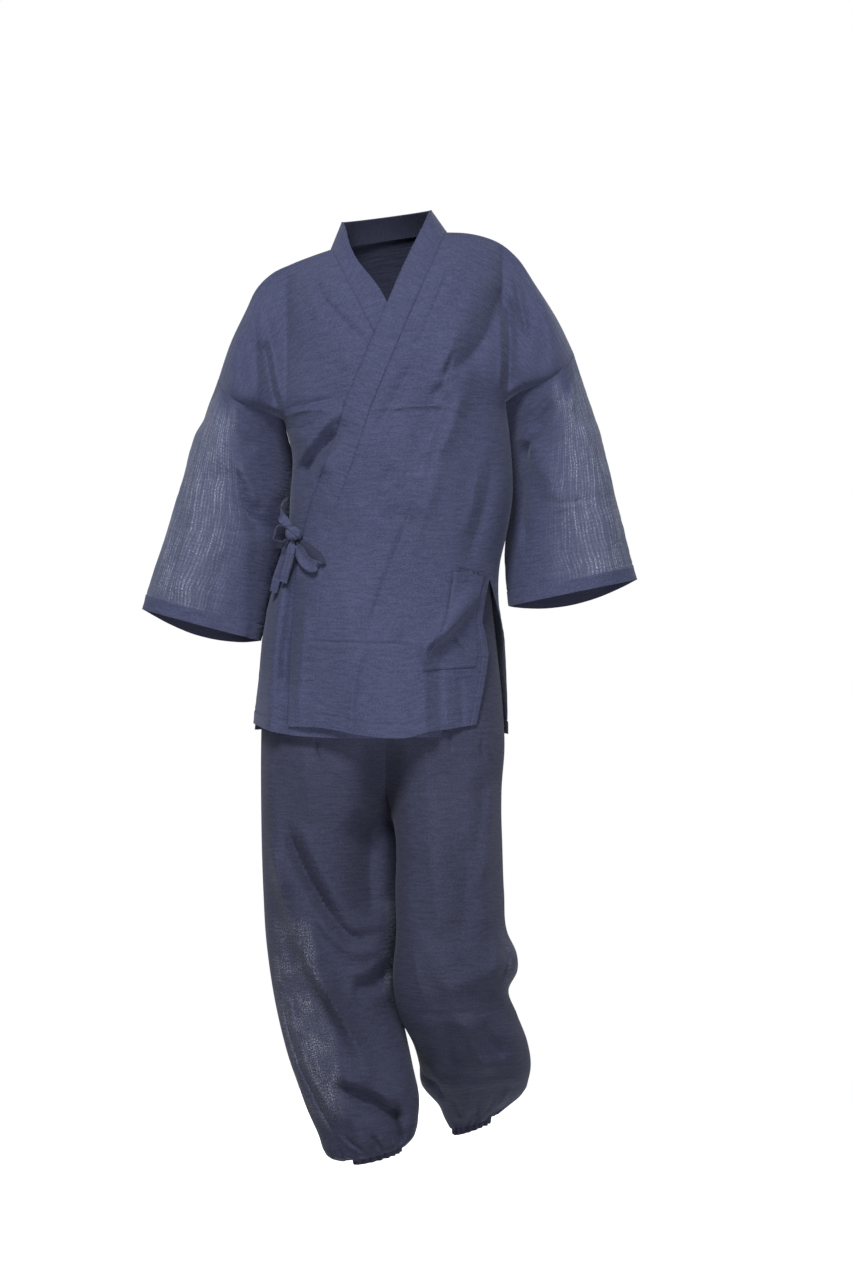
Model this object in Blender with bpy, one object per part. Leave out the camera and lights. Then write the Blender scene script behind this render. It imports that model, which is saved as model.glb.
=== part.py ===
"""Samue set, worn: a wrapped jacket tied at the right hip and wide trousers with gathered ankles.

Hollow cloth walls round a general figure. Metres, +Z up, the front towards -Y, the wearer's left
towards +X. The origin is the base of the neck, where the wearer's shoulders hold the jacket.
Tables are in millimetres, and a drop is a distance below the origin.
"""

import bpy
import numpy as np

MM = 0.001
CLOTH = 1.5 * MM  # wall of one layer of crinkled cotton with its hems
BAND = 2.4 * MM  # the folded collar band
TAPE = 1.6 * MM  # the flat sewn ties
SEAM = 0.4 * MM  # gap between two sewn pieces
ARMHOLE_SEAM = 0.5 * MM
WRAP = 7.0 * MM  # how far the left front lies outside the torso
WRAP_FROM = 10 * MM  # it starts this far down and is full after the next length
WRAP_GROWS = 75 * MM
WRAP_ENDS = 92 * MM  # x where it starts to fade towards the left side
WRAP_FADES = 50 * MM
SINK = 4 * MM  # how far the right front lies inside it where the left one covers it
SINK_LAP = 55 * MM  # it starts this far outside the left front's seam
SINK_GROWS = 35 * MM
SINK_FROM = 140 * MM
SINK_DEEPENS = 100 * MM
SEAT = 2.1 * MM  # from the jacket's inner curve to the waistband at the right hip

ARMPIT_DROP = 260 * MM
SLIT_DROP = 511 * MM
SLIT_FREE = 100 * MM  # this far below its top the slit's edge follows the folds
HEM_DROP = 744 * MM
HEM_FROM = 560 * MM  # below this the rows turn to the hem's own line
SHOULDER_TILT = 0.085  # the left shoulder stands higher, in metres per metre across
TILT_ABOUT = 20 * MM  # x of the neck, where the tilt changes nothing
TILT_GONE = 400 * MM
FULLNESS = 0.8  # under 1 makes the rings boxier than an ellipse
FOLDS_TOP = 1 / 3  # share of the rows under the shoulder over which the folds grow
FOLDS_SIDE = 1 / 4  # share of the columns beside the side edge over which they fade
RING_REACH = 0.97  # past this share of a ring's half width the shoulders keep their depth
COLLAR_WIDTH = 38 * MM

# The jacket's body below the armpits: its sides, front and back at each drop
BODY_COLUMNS = ("drop", "right", "left", "front", "back")
BODY = (
    (260, -152, 179, -126, 108),
    (320, -140, 187, -131, 112),
    (385, -143, 190, -131, 104),
    (445, -147, 181, -128, 96),
    (490, -156, 171, -129, 98),
    (540, -173, 169, -133, 108),
    (600, -184, 177, -139, 118),
    (670, -190, 181, -144, 126),
    (750, -198, 183, -148, 131),
)

# The shoulder line from the collar to the sleeve seam, x and drop
SHOULDER = {
    "right": ((-83, 18), (-112, 28), (-140, 39), (-171, 54), (-194, 77), (-209, 108), (-232, 157), (-250, 210)),
    "left": ((92, -8), (118, -7), (141, -3), (172, 9), (195, 28), (224, 70), (261, 130), (280, 170)),
}

# Each sleeve's outer and inner edge seen from the front, and its middle, front and back across
SLEEVE_COLUMNS = ("along", "outer_x", "outer_drop", "inner_x", "inner_drop", "middle", "behind", "front", "back")
SLEEVE = {
    "right": (
        (0.00, -250, 210, -153, 272, 0, 0, 76, 72),
        (0.25, -283, 303, -139, 348, -4, 50, 72, 64),
        (0.50, -312, 394, -146, 430, -9, 54, 68, 60),
        (0.75, -340, 481, -167, 520, -14, 44, 62, 58),
        (1.00, -364, 557, -189, 604, -18, 24, 56, 58),
    ),
    "left": (
        (0.00, 280, 170, 180, 243, 0, 0, 76, 72),
        (0.25, 311, 263, 186, 315, -4, 36, 72, 66),
        (0.50, 334, 350, 188, 392, -8, 52, 68, 60),
        (0.75, 356, 440, 179, 474, -12, 44, 62, 58),
        (1.00, 375, 513, 184, 552, -16, 24, 56, 58),
    ),
}
ARM_FROM = 0.35  # share of the shoulder's length from which a column belongs to the arm
SLEEVE_SAG = 20 * MM  # how much lower the front of the sleeve seam hangs
CUFF_BACK = 18 * MM  # how much lower the back of the cuff hangs
SLEEVE_ROUNDS = 0.625  # share of the sleeve over which its pointed top becomes round
SLEEVE_LEAVES = 0.4  # share over which it leaves the armhole's line
SLEEVE_FOLDS_GROW = 0.2

# Both halves of the neck, where the collar stands
NECK_SEAM = {"right": -62 * MM, "left": 76 * MM}  # x on the armpit row below the neck's corners
NECK_DEPTH = 72 * MM
NECK_RISE = 10 * MM
COLLAR_LEAN = 20 * MM
COLLAR_SEAM = {"right": 1.0 * MM, "left": 0.6 * MM}
COLLAR_TURNED = {"right": 0.26, "left": 0.0}  # share of the band's width hidden as it turns up
COLLAR_TURN_AT = 45 * MM  # below the neck's corner, and how far that turn spreads
COLLAR_TURN_SPREADS = 35 * MM
COLLAR_TIPS = {"right": (-66, 24), "left": (68, 42)}  # x and height of the collar's top
COLLAR_FLARE = 4 * MM  # how much wider the band is at the neck
COLLAR_STANDS = 75 * MM  # below the neck's corner it lies on the front from here on
COLLAR_TURNS = 130 * MM  # and from here on it runs square to its seam
COLLAR_LEVEL_FROM = 550 * MM  # lower down it runs straight across
COLLAR_LEVEL_GROWS = 150 * MM
COLLAR_CROWN = 1.6 * MM  # the over band's middle and edges stand off the front by these
COLLAR_LAID = 0.4 * MM
COLLAR_BOW = 2 * MM
COLLAR_LIFT = 1.1 * MM  # from the neck's seam to the band's edge
COLLAR_BULGE = 3 * MM
COLLAR_SHARES = (0.0, 0.5, 1.0)
COLLAR_NECK_PARTS = 13

# The seam between each front and its collar band, x at each drop
FRONT_SEAM = {
    "right": ((260, 36), (350, 44), (450, 46), (560, 46), (660, 46), (744, 46)),
    "left": ((260, -20), (345, -48), (420, -74), (475, -88), (560, -97), (660, -102), (744, -104)),
}

# The hems, drop at each x
HEM = {
    "right": ((-198, 727), (-172, 736), (-143, 742), (-100, 745), (-60, 746), (100, 744)),
    "left": ((-140, 727), (-86, 732), (-38, 741), (11, 746), (35, 745), (57, 738), (96, 733), (135, 727)),
    "back": ((-200, 738), (0, 744), (185, 744)),
}

# Where each side seam and each slit's edge lies round the body, in degrees from the left side
SIDE_SEAM = {
    "left_front": ((260, 0), (320, 0), (420, 10), (511, 24), (575, 34), (630, 31), (744, 42)),
    "left_back": ((260, 0), (320, 0), (420, 10), (511, 24), (573, 6), (640, 0), (744, 0)),
    "right_front": ((260, 0), (511, 0), (600, 2), (744, 3)),
    "right_back": ((260, 0), (511, 0), (600, 3), (744, 5)),
}

# Long soft folds of the jacket's front and back: from, to, half width and height
FOLD_COLUMNS = ("x1", "drop1", "x2", "drop2", "width", "height")
FRONT_FOLDS = (
    (140, 78, 82, 228, 20, 8),
    (118, 215, 48, 400, 20, 8),
    (76, 240, 22, 420, 15, -6),
    (-66, 292, -132, 362, 13, -10),
    (-128, 300, -90, 345, 16, 7),
    (-150, 520, -176, 740, 11, 8),
    (-126, 545, -140, 740, 12, 7),
    (-50, 560, -52, 730, 15, 5),
    (148, 516, 62, 612, 12, 9),
    (60, 612, 60, 740, 16, 6),
)

# The skirt to the left of this line, x at each drop, is drawn back beside the pocket
SKIRT_LINE = ((511, 153), (615, 58), (744, 60))
SKIRT_DRAWN = 9 * MM
SKIRT_WIDTH = 40 * MM
SKIRT_FROM = 505 * MM
SKIRT_GROWS = 60 * MM

BACK_FOLDS = (
    (-110, 430, -130, 735, 20, 9),
    (-40, 450, -52, 735, 18, 8),
    (44, 440, 50, 735, 20, 9),
    (120, 470, 136, 735, 18, 8),
    (-96, 300, -30, 420, 24, 7),
    (110, 290, 40, 410, 24, 7),
)

BACK_FOLDS_GROW = 50 * MM  # they are full this far behind the sides

SLEEVE_FOLDS = {
    "right": (
        (-238, 363, -186, 434, 14, -9),
        (-280, 300, -300, 520, 18, 6),
        (-210, 460, -215, 590, 14, 5),
    ),
    "left": (
        (254, 402, 320, 400, 10, -5),
        (214, 300, 262, 400, 16, 8),
        (300, 300, 330, 500, 16, 6),
    ),
}

# The pocket covers these rows and columns of the left front, and its left edge has this x at each drop
POCKET_ROWS = (503, 650)
POCKET_COLUMNS = (9, 12)
POCKET_EDGE = ((380, 124), (503, 100), (576, 86), (650, 56), (744, 50))
POCKET_LINE_FROM = 390 * MM  # from here down the columns turn to the pocket's edge
POCKET_LINE_GROWS = 100 * MM
POCKET_WALL = 1.2 * MM
POCKET_GAP = 0.55 * MM

# The deep valley between the torso and each arm: its column at the shoulder and how far that moves down
VALLEY = {
    "right": {"start": 0.60, "shift": 0.24, "width": 0.13, "front": 20 * MM, "back": 15 * MM},
    "left": {"start": 0.58, "shift": 0.27, "width": 0.13, "front": 26 * MM, "back": 15 * MM},
}

VALLEY_FROM = 0.12  # share of the rows under the shoulder where it starts, and over which it deepens
VALLEY_GROWS = 0.5

# The trousers above the crotch, both legs together
HIPS_COLUMNS = ("drop", "right", "left", "front", "back")
HIPS = (
    (420, -142, 150, -104, 82),
    (462, -146, 152, -106, 84),
    (540, -160, 158, -112, 98),
    (620, -176, 167, -117, 110),
    (700, -185, 175, -118, 115),
    (770, -187, 178, -115, 114),
    (840, -187, 171, -108, 110),
)
WAIST_TOP = 424 * MM
WAIST_SEAM = 460 * MM
HIPS_FREE = 540 * MM  # below this the hips keep their own sides
RISE_START = 620 * MM
CROTCH_DROP = 840 * MM
CROTCH_CURVE = 1.3

# Each leg below the crotch: outer and inner edge, middle, front and back across
LEG_COLUMNS = ("drop", "outer", "inner", "middle", "front", "back")
LEG = {
    "right": (
        (840, -187, -0.4, 0, 108, 110),
        (900, -186, 17, -2, 106, 106),
        (980, -183, 20, -8, 100, 100),
        (1045, -179, 21, -14, 96, 96),
        (1100, -172, 17, -20, 93, 93),
        (1140, -165, 18, -25, 91, 92),
        (1180, -156, 27, -30, 89, 91),
        (1235, -140, 40, -38, 84, 90),
        (1285, -119, 50, -46, 78, 86),
        (1320, -99, 49, -52, 70, 78),
        (1341, -90, 46, -56, 62, 69),
        (1354, -80, 40, -59, 54, 59),
        (1361, -66, 32, -59, 47, 51),
        (1371, -48, 23, -59, 38, 41),
    ),
    "left": (
        (840, 171, 0.4, 0, 108, 110),
        (870, 173, 10, -4, 109, 108),
        (980, 177, 15, -16, 106, 102),
        (1040, 182, 16, -20, 102, 98),
        (1072, 196, 13, -18, 100, 97),
        (1096, 197, 11, -14, 98, 96),
        (1125, 184, 13, -8, 95, 95),
        (1165, 197, 22, 8, 92, 95),
        (1208, 213, 41, 30, 88, 94),
        (1245, 219, 50, 52, 83, 90),
        (1275, 216, 54, 72, 78, 86),
        (1304, 211, 80, 92, 68, 77),
        (1322, 202, 88, 108, 59, 66),
        (1335, 186, 94, 119, 51, 56),
        (1343, 172, 98, 120, 44, 48),
        (1352, 160, 102, 120, 37, 41),
    ),
}
INSEAM_TURN = {"right": 45 * MM, "left": -45 * MM}  # how far the inseam lies behind the leg's middle
INSEAM_TURN_GROWS = 40 * MM
INSEAM_TURN_UNTIL = 1160 * MM
INSEAM_TURN_FADES = 100 * MM
LEG_SEAM = 0.28 * MM  # each leg panel ends this far from the seam's middle
LEG_FOLDS_FROM = 550 * MM
LEG_FOLDS_GROW = 150 * MM
LEG_FOLDS_FADE = 20 * MM
ANKLE_TILT = {"right": (0.25, -12), "left": (0.33, 129)}  # rise per metre across, about this x
ANKLE_TILT_FROM = 1250 * MM
ANKLE_TILT_GROWS = 100 * MM
TURN_UP = {"right": 1361 * MM, "left": 1343 * MM}  # here the cloth blouses over and turns up inside
CASING_HEIGHT = 13 * MM
CASING_SEAM = 0.8 * MM
CASING_LEAN = 2 * MM
GATHERS = 18
GATHER_HEIGHT = 2.2 * MM
GATHERS_GROW = 2 / 3  # share of the casing's height over which the waves grow
CASING_ROWS = 4

LEG_FOLDS = {
    "right": (
        (-176, 800, -150, 960, 16, 8),
        (-150, 960, -84, 1110, 16, 9),
        (-84, 1110, -26, 1235, 15, 8),
        (-86, 1020, -16, 1062, 14, 8),
        (-44, 1120, -4, 1135, 13, 6),
        (-24, 1262, 24, 1330, 12, -8),
        (-120, 1180, -70, 1300, 14, 7),
        (-60, 1240, -36, 1350, 11, 6),
        (-14, 760, -20, 900, 15, -6),
    ),
    "left": (
        (60, 770, 92, 1000, 20, 7),
        (130, 800, 150, 1010, 18, 6),
        (186, 1080, 100, 1110, 13, 8),
        (60, 1050, 120, 1160, 15, 8),
        (190, 1190, 110, 1165, 13, 8),
        (70, 1180, 150, 1240, 14, 7),
        (90, 1270, 190, 1262, 12, 7),
        (110, 1260, 120, 1330, 10, 5),
    ),
}

UPPER_ROWS = 10
LOWER_DROPS = (283, 308, 335, 362, 390, 418, 446, 474, 503, 530, 558, 588, 619, 650, 681, 712, 744)
FRONT_COLUMNS = {"right": 11, "left": 13}
SHOULDER_PARTS = 6
NECK_PARTS = 8
SLEEVE_ROWS = 12
LEG_DROPS = {
    "hips": (460.4, 500, 545, 590, 635, 680, 720, 755, 785, 808, 825, 840),
    "right": (865, 905, 945, 985, 1025, 1065, 1100, 1140, 1180, 1220, 1255, 1290, 1322, 1345, 1357, 1364, 1371),
    "left": (865, 905, 950, 995, 1035, 1065, 1092, 1122, 1160, 1200, 1235, 1268, 1298, 1320, 1335, 1343.5, 1352),
}
LEG_ACROSS = 10
WAIST_PARTS = 36
WAIST_ROWS = 3
GATHER_STEPS = 4

# The outer tie is knotted at the right hip, beside the over front's edge
TAPE_WIDTH = 14 * MM
TAPE_STEPS = 16
PINCH = 0.5  # a tape is this share of its width where it enters the knot
PINCH_LENGTH = 14 * MM
KNOT_CENTRE = (-135.6, -88, -446)
KNOT_HALF = (10.8, 9, 9.5)
KNOT_SQUARENESS = 0.6  # under 1 makes it boxier than an ellipsoid
KNOT_STRANDS = 3  # round it, each standing out by this share and slanting by this many radians
KNOT_STRAND_HEIGHT = 0.05
KNOT_SLANT = 2
KNOT_RINGS = 10
KNOT_PARTS = 16

# Each tape's stretch: x, y and z of its middle, and the direction across it there
TIES = {
    "tie_side": (
        (-144.7, 2, -394, 0, 0, 1),
        (-147, -14, -396, 0, 0, 1),
        (-151, -38, -402, 0, 0, 1),
        (-154, -62, -411, 0.2, 0.2, 1),
        (-152, -78, -421, 0.4, 0.6, 0.7),
        (-140, -87, -435.2, 0.4, 0.8, 0.2),
    ),
    "tie_loop_left": (
        (-147.1, -85, -440, 0, 1, 0),
        (-152, -86, -433, 0, 1, 0.1),
        (-162, -87, -431.5, 0, 1, 0.1),
        (-167, -88, -437, 0.1, 1, 0.1),
        (-169.5, -89, -454, 0.1, 1, -0.1),
        (-164, -90, -461, 0, 0.75, -0.8),
        (-154, -91, -460, 0, 0.7, -0.8),
        (-147.4, -91, -452, 0, 1, -0.3),
    ),
    "tie_loop_right": (
        (-128, -9, -456.9, 0.6, 0, -1),
        (-118, -5, -465, -0.45, 0, -0.8),
        (-108, -3.2, -473, -0.66, 0, -0.75),
        (-98, -3.2, -484, -0.66, 0, -0.75),
        (-95.5, -6, -490, -0.66, 0, -0.75),
        (-101, -9, -489, -0.66, 0, -0.75),
        (-112, -9.5, -480, -0.66, 0, -0.75),
        (-122, -11, -470, -0.6, 0, -0.75),
        (-131, -15, -457.8, 0.6, 0, -1),
    ),
    "tie_tail_short": (
        (-137, -86, -456.6, 0.6, 0.6, 0),
        (-138, -90, -468, 0.7, -0.3, 0),
        (-141, -92, -486, 0.8, -0.6, -0.1),
        (-146, -92, -503, 0.8, -0.6, -0.2),
        (-150, -90, -518, 0.8, -0.6, -0.2),
    ),
    "tie_tail_long": (
        (-143, -84, -455.1, 0.6, 0.8, 0),
        (-147, -81, -474, 0.8, -0.5, -0.1),
        (-153, -78, -492, 0.8, -0.6, -0.2),
        (-160, -75, -512, 0.8, -0.6, -0.2),
        (-165, -73, -532, 0.8, -0.6, -0.2),
    ),
}
TIE_LAID = ("tie_loop_right",)
TIE_PINCHED = {
    "tie_side": ("end",),
    "tie_loop_left": ("start", "end"),
    "tie_loop_right": ("start", "end"),
    "tie_tail_short": ("start",),
    "tie_tail_long": ("start",),
}

SHARP_ANGLE = np.radians(50)
COTTON_ROUGHNESS = 0.9
NAVY = (0.030, 0.038, 0.088, 1)
TROUSER_NAVY = (0.024, 0.029, 0.066, 1)


def spline(knots, values, at):
    """The smooth curve through the values at the knots, read at each place."""
    knots = np.asarray(knots, float)
    values = np.asarray(values, float)
    at = np.asarray(at, float)
    slopes = np.gradient(values, knots)
    i = np.clip(np.searchsorted(knots, at, side="right") - 1, 0, len(knots) - 2)
    length = knots[i + 1] - knots[i]
    t = np.clip((at - knots[i]) / length, 0, 1)
    start = (2 * t**3 - 3 * t**2 + 1) * values[i] + (t**3 - 2 * t**2 + t) * length * slopes[i]
    end = (3 * t**2 - 2 * t**3) * values[i + 1] + (t**3 - t**2) * length * slopes[i + 1]
    return start + end


def column(table, names, wanted, at):
    """One named column of a millimetre table, read at a value of its first column."""
    rows = np.array(table, float)
    first = rows[:, 0] * (1 if names[0] == "along" else MM)
    return spline(first, rows[:, names.index(wanted)] * MM, at)


def pairs(table, at):
    """The second column of a table of pairs in millimetres, read at a value of its first."""
    rows = np.array(table, float) * MM
    return spline(rows[:, 0], rows[:, 1], at)


def smooth(t):
    """0 up to 0, 1 from 1 on, and an S between."""
    t = np.clip(t, 0, 1)
    return t * t * (3 - 2 * t)


def folds(table, x, drop):
    """Height of the soft ridges and troughs, each a bell across its own straight line."""
    total = np.zeros(np.broadcast(x, drop).shape)
    for row in table:
        fold = dict(zip(FOLD_COLUMNS, np.array(row) * MM))
        run, fall = fold["x2"] - fold["x1"], fold["drop2"] - fold["drop1"]
        past_x, past_drop = x - fold["x1"], drop - fold["drop1"]
        along = np.clip((past_x * run + past_drop * fall) / (run**2 + fall**2), 0, 1)
        off = np.hypot(past_x - along * run, past_drop - along * fall)
        total += fold["height"] * np.exp(-((off / fold["width"]) ** 2))
    return total


def body(name, drop):
    return column(BODY, BODY_COLUMNS, name, np.maximum(drop, ARMPIT_DROP))


def row_height(x, drop):
    """Height of a point of the row at this drop, which tilts with the shoulders near the armpits."""
    fade = 1 - smooth((drop - ARMPIT_DROP) / (TILT_GONE - ARMPIT_DROP))
    return -drop + SHOULDER_TILT * (x - TILT_ABOUT) * fade


def ring_front(x, drop):
    """How far forward the torso's ring at this drop lies at x."""
    middle = (body("left", drop) + body("right", drop)) / 2
    half = (body("left", drop) - body("right", drop)) / 2
    across = np.clip((x - middle) / half, -RING_REACH, RING_REACH)
    return body("front", drop) * (1 - across**2) ** (FULLNESS / 2)


def shoulder_height(x):
    """Height of the shoulder line over x, straight across the neck."""
    line = sorted((*SHOULDER["right"], *SHOULDER["left"]))
    return -pairs(line, x)


def torso_front(x, z):
    """y of the torso's front at x and z: a quarter ellipse over the chest, then rings."""
    top = shoulder_height(x)
    armpit = row_height(x, ARMPIT_DROP)
    down = np.clip((top - z) / (top - armpit), 0, 1)
    chest = ring_front(x, ARMPIT_DROP) * np.sqrt(1 - (1 - down) ** 2)
    drop = -z
    for _ in range(4):
        drop = -z + row_height(x, drop) + drop
    below = ring_front(x, np.maximum(drop, ARMPIT_DROP))
    return np.where(z > armpit, chest, below)


def drape(x, z):
    """How far the front's folds stand out, with the skirt beside the pocket drawn back."""
    out = folds(FRONT_FOLDS, x, -z)
    rows = np.array(SKIRT_LINE) * MM
    line = np.interp(-z, rows[:, 0], rows[:, 1])
    below = smooth((-z - SKIRT_FROM) / SKIRT_GROWS)
    return out - SKIRT_DRAWN * below * smooth((x - line) / SKIRT_WIDTH)


def wrap(x, z):
    """How far the left front lies outside the torso: nothing at the neck and at the left side."""
    return WRAP * smooth((-z - WRAP_FROM) / WRAP_GROWS) * (1 - smooth((x - WRAP_ENDS) / WRAP_FADES))


def layer(x, z, over):
    """How far a front stands out: the left one by the wrap, the right one sunk under the left."""
    if over:
        return wrap(x, z)
    under = smooth((x - pairs(FRONT_SEAM["left"], -z) + SINK_LAP) / SINK_GROWS)
    return -SINK * under * smooth((-z - SINK_FROM) / SINK_DEEPENS)


def front_surface(x, z, over):
    """Points of a front's outer face at x and z."""
    y = torso_front(x, z) - drape(x, z) - layer(x, z, over) - SEAM / 2
    return np.stack(np.broadcast_arrays(x, y, z), axis=-1)


def column_angles(side, drop, u):
    """Angles of a front's columns on the ring at this drop, from its collar seam to its side edge."""
    middle, half = ring_middle(drop)

    def angle_at(x):
        return np.arccos(np.clip((x - middle) / half, -1, 1))

    edge = np.radians(side_degrees(f"{side}_front", drop))
    start = angle_at(pairs(FRONT_SEAM[side], drop))
    end = edge if side == "left" else np.pi - edge
    if side == "right":
        return start + (end - start) * u
    first = POCKET_COLUMNS[0] / FRONT_COLUMNS["left"]
    even = start + (end - start) * first
    pocket_edge = angle_at(pairs(POCKET_EDGE, drop))
    held = even + (pocket_edge - even) * smooth((drop - POCKET_LINE_FROM) / POCKET_LINE_GROWS)
    return np.interp(u, (0, first, 1), (start, held, end))


def front_panel(side):
    """Outer points of a front: rows from the shoulder to the hem, columns from collar to side."""
    over = side == "left"
    u = np.linspace(0, 1, FRONT_COLUMNS[side] + 1)[None, :]
    d = np.linspace(0, 1, UPPER_ROWS + 1)[:, None]
    x, y, z = armhole_rows(side, u, d, -1, seam_x=pairs(FRONT_SEAM[side], ARMPIT_DROP))
    y = y - drape(x, z) * smooth(d / FOLDS_TOP) * smooth((1 - u) / FOLDS_SIDE)
    y = y - layer(x, z, over) - SEAM / 2
    rows = [np.stack((x, y, z), axis=-1)]
    for drop in np.array(LOWER_DROPS) * MM:
        middle, half = ring_middle(drop)
        angle = column_angles(side, drop, u)
        x = middle + half * np.cos(angle)
        y = body("front", drop) * np.abs(np.sin(angle)) ** FULLNESS
        z = row_height(x, drop)
        z = z - (pairs(HEM[side], x) - HEM_DROP) * smooth((drop - HEM_FROM) / (HEM_DROP - HEM_FROM))
        held = smooth((1 - u) / FOLDS_SIDE)
        if drop > SLIT_DROP:
            held = np.maximum(held, smooth((drop - SLIT_DROP) / SLIT_FREE))
        y = y - drape(x, z) * held - layer(x, z, over) - SEAM / 2
        rows.append(np.stack((x, y, z), axis=-1))
    return np.concatenate(rows)


def side_degrees(name, drop):
    rows = np.array(SIDE_SEAM[name], float)
    return np.interp(drop / MM, rows[:, 0], rows[:, 1])


def ring_middle(drop):
    return (body("left", drop) + body("right", drop)) / 2, (body("left", drop) - body("right", drop)) / 2


def shoulder_point(side, u):
    """x and z of the shoulder line, u from the collar to the sleeve seam by its length."""
    line = np.array(SHOULDER[side], float) * MM
    length = np.concatenate(([0], np.cumsum(np.hypot(*np.diff(line, axis=0).T))))
    at = u * length[-1]
    return spline(length, line[:, 0], at), -spline(length, line[:, 1], at)


def arm_share(u):
    """How far a column belongs to the arm: none by the collar, all at the sleeve seam."""
    return smooth((u - ARM_FROM) / (1 - ARM_FROM))


def armhole_rows(side, u, d, facing, seam_x):
    """x, y and z between the shoulder line and the armpit row, facing -1 in front and 1 behind."""
    top_x, top_z = shoulder_point(side, u)
    middle, half = ring_middle(ARMPIT_DROP)
    start = np.arccos((seam_x - middle) / half)
    end = 0.0 if side == "left" else np.pi
    angle = start + (end - start) * u
    low_x = middle + half * np.cos(angle)
    low_z = row_height(low_x, ARMPIT_DROP)
    depth = abs(body("front" if facing < 0 else "back", ARMPIT_DROP))
    low_y = facing * depth * np.abs(np.sin(angle)) ** FULLNESS
    eased = 1 - np.cos(np.pi * d / 2)
    x = top_x + (low_x - top_x) * eased
    z = top_z + (low_z - top_z) * eased
    reach = column(SLEEVE[side], SLEEVE_COLUMNS, "front" if facing < 0 else "back", 0.0)
    arm = low_y * d + facing * reach * np.sin(np.pi * d)
    torso = torso_front(x, z) if facing < 0 else low_y * np.sin(np.pi * d / 2)
    share = arm_share(u)
    sag = SLEEVE_SAG if facing < 0 else SLEEVE_SAG / 2
    y = (1 - share) * torso + share * arm
    valley = VALLEY[side]
    off = (u - valley["start"] - valley["shift"] * d) / valley["width"]
    depth = valley["front" if facing < 0 else "back"] * np.exp(-(off**2))
    y = y - facing * depth * np.sin(np.pi * d) * smooth((d - VALLEY_FROM) / VALLEY_GROWS)
    return x, y, z - share * sag * np.sin(np.pi * d) ** 2


def back_panel():
    """Outer points of the back, columns from the right sleeve seam round to the left one."""
    d = np.linspace(0, 1, UPPER_ROWS + 1)[:, None]
    u = np.linspace(0, 1, SHOULDER_PARTS + 1)[None, :]
    corners = NECK_SEAM
    right = np.stack(armhole_rows("right", u, d, 1, corners["right"]), axis=-1)[:, ::-1]
    left = np.stack(armhole_rows("left", u, d, 1, corners["left"]), axis=-1)
    t = np.linspace(0, 1, NECK_PARTS + 1)[1:-1]
    top = neck_base(np.pi * (1 - t))
    middle, half = ring_middle(ARMPIT_DROP)
    inner = [-np.arccos((corners[side] - middle) / half) for side in ("right", "left")]
    low_x = corners["right"] + (corners["left"] - corners["right"]) * t
    low_y = body("back", ARMPIT_DROP) * (1 - ((low_x - middle) / half) ** 2) ** (FULLNESS / 2)
    low = np.stack((low_x, low_y, row_height(low_x, ARMPIT_DROP)), axis=-1)
    eased = (1 - np.cos(np.pi * d / 2))[..., None]
    rounded = np.sin(np.pi * d / 2)[..., None]
    share = np.array((0, 1, 0)) * rounded + np.array((1, 0, 1)) * eased
    neck = top + (low - top) * share
    grid = np.concatenate((right, neck, left), axis=1)
    rows = [grid]
    angles = np.concatenate((
        np.linspace(0, 1, SHOULDER_PARTS + 1),
        1 + t,
        np.linspace(2, 3, SHOULDER_PARTS + 1),
    ))
    for drop in np.array(LOWER_DROPS) * MM:
        middle, half = ring_middle(drop)
        first = -np.pi + np.radians(side_degrees("right_back", drop))
        last = np.radians(side_degrees("left_back", drop))
        angle = np.interp(angles, (0, 1, 2, 3), (first, inner[0], inner[1], last))
        x = middle + half * np.cos(angle)
        side_y = np.where(np.sin(angle) > 0, body("front", drop), body("back", drop))
        y = side_y * np.abs(np.sin(angle)) ** FULLNESS
        z = row_height(x, drop)
        z = z - (pairs(HEM["back"], x) - HEM_DROP) * smooth((drop - HEM_FROM) / (HEM_DROP - HEM_FROM))
        rows.append(np.stack((x, y, z), axis=-1)[None])
    points = np.concatenate(rows)
    relief = folds(BACK_FOLDS, points[..., 0], -points[..., 2])
    points[..., 1] += relief * smooth(points[..., 1] / BACK_FOLDS_GROW) + SEAM / 2
    return points


def neck_base(angle):
    """The seam round the back of the neck, from the left corner at 0 to the right one at pi."""
    (right_x, right_drop), (left_x, left_drop) = SHOULDER["right"][0], SHOULDER["left"][0]
    turn = (1 - np.cos(angle)) / 2
    x = (left_x + (right_x - left_x) * turn) * MM
    y = NECK_DEPTH * np.sin(angle)
    z = -(left_drop + (right_drop - left_drop) * turn) * MM + NECK_RISE * np.sin(angle)
    return np.stack((x, y, z), axis=-1)


def neck_top(angle):
    """The collar's free edge round the back of the neck."""
    (right_x, right_high), (left_x, left_high) = COLLAR_TIPS["right"], COLLAR_TIPS["left"]
    turn = (1 - np.cos(angle)) / 2
    x = (left_x + (right_x - left_x) * turn) * MM
    y = (NECK_DEPTH - COLLAR_LEAN) * np.sin(angle)
    z = (left_high + (right_high - left_high) * turn) * MM + NECK_RISE / 2 * np.sin(angle)
    return np.stack((x, y, z), axis=-1)


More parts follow.
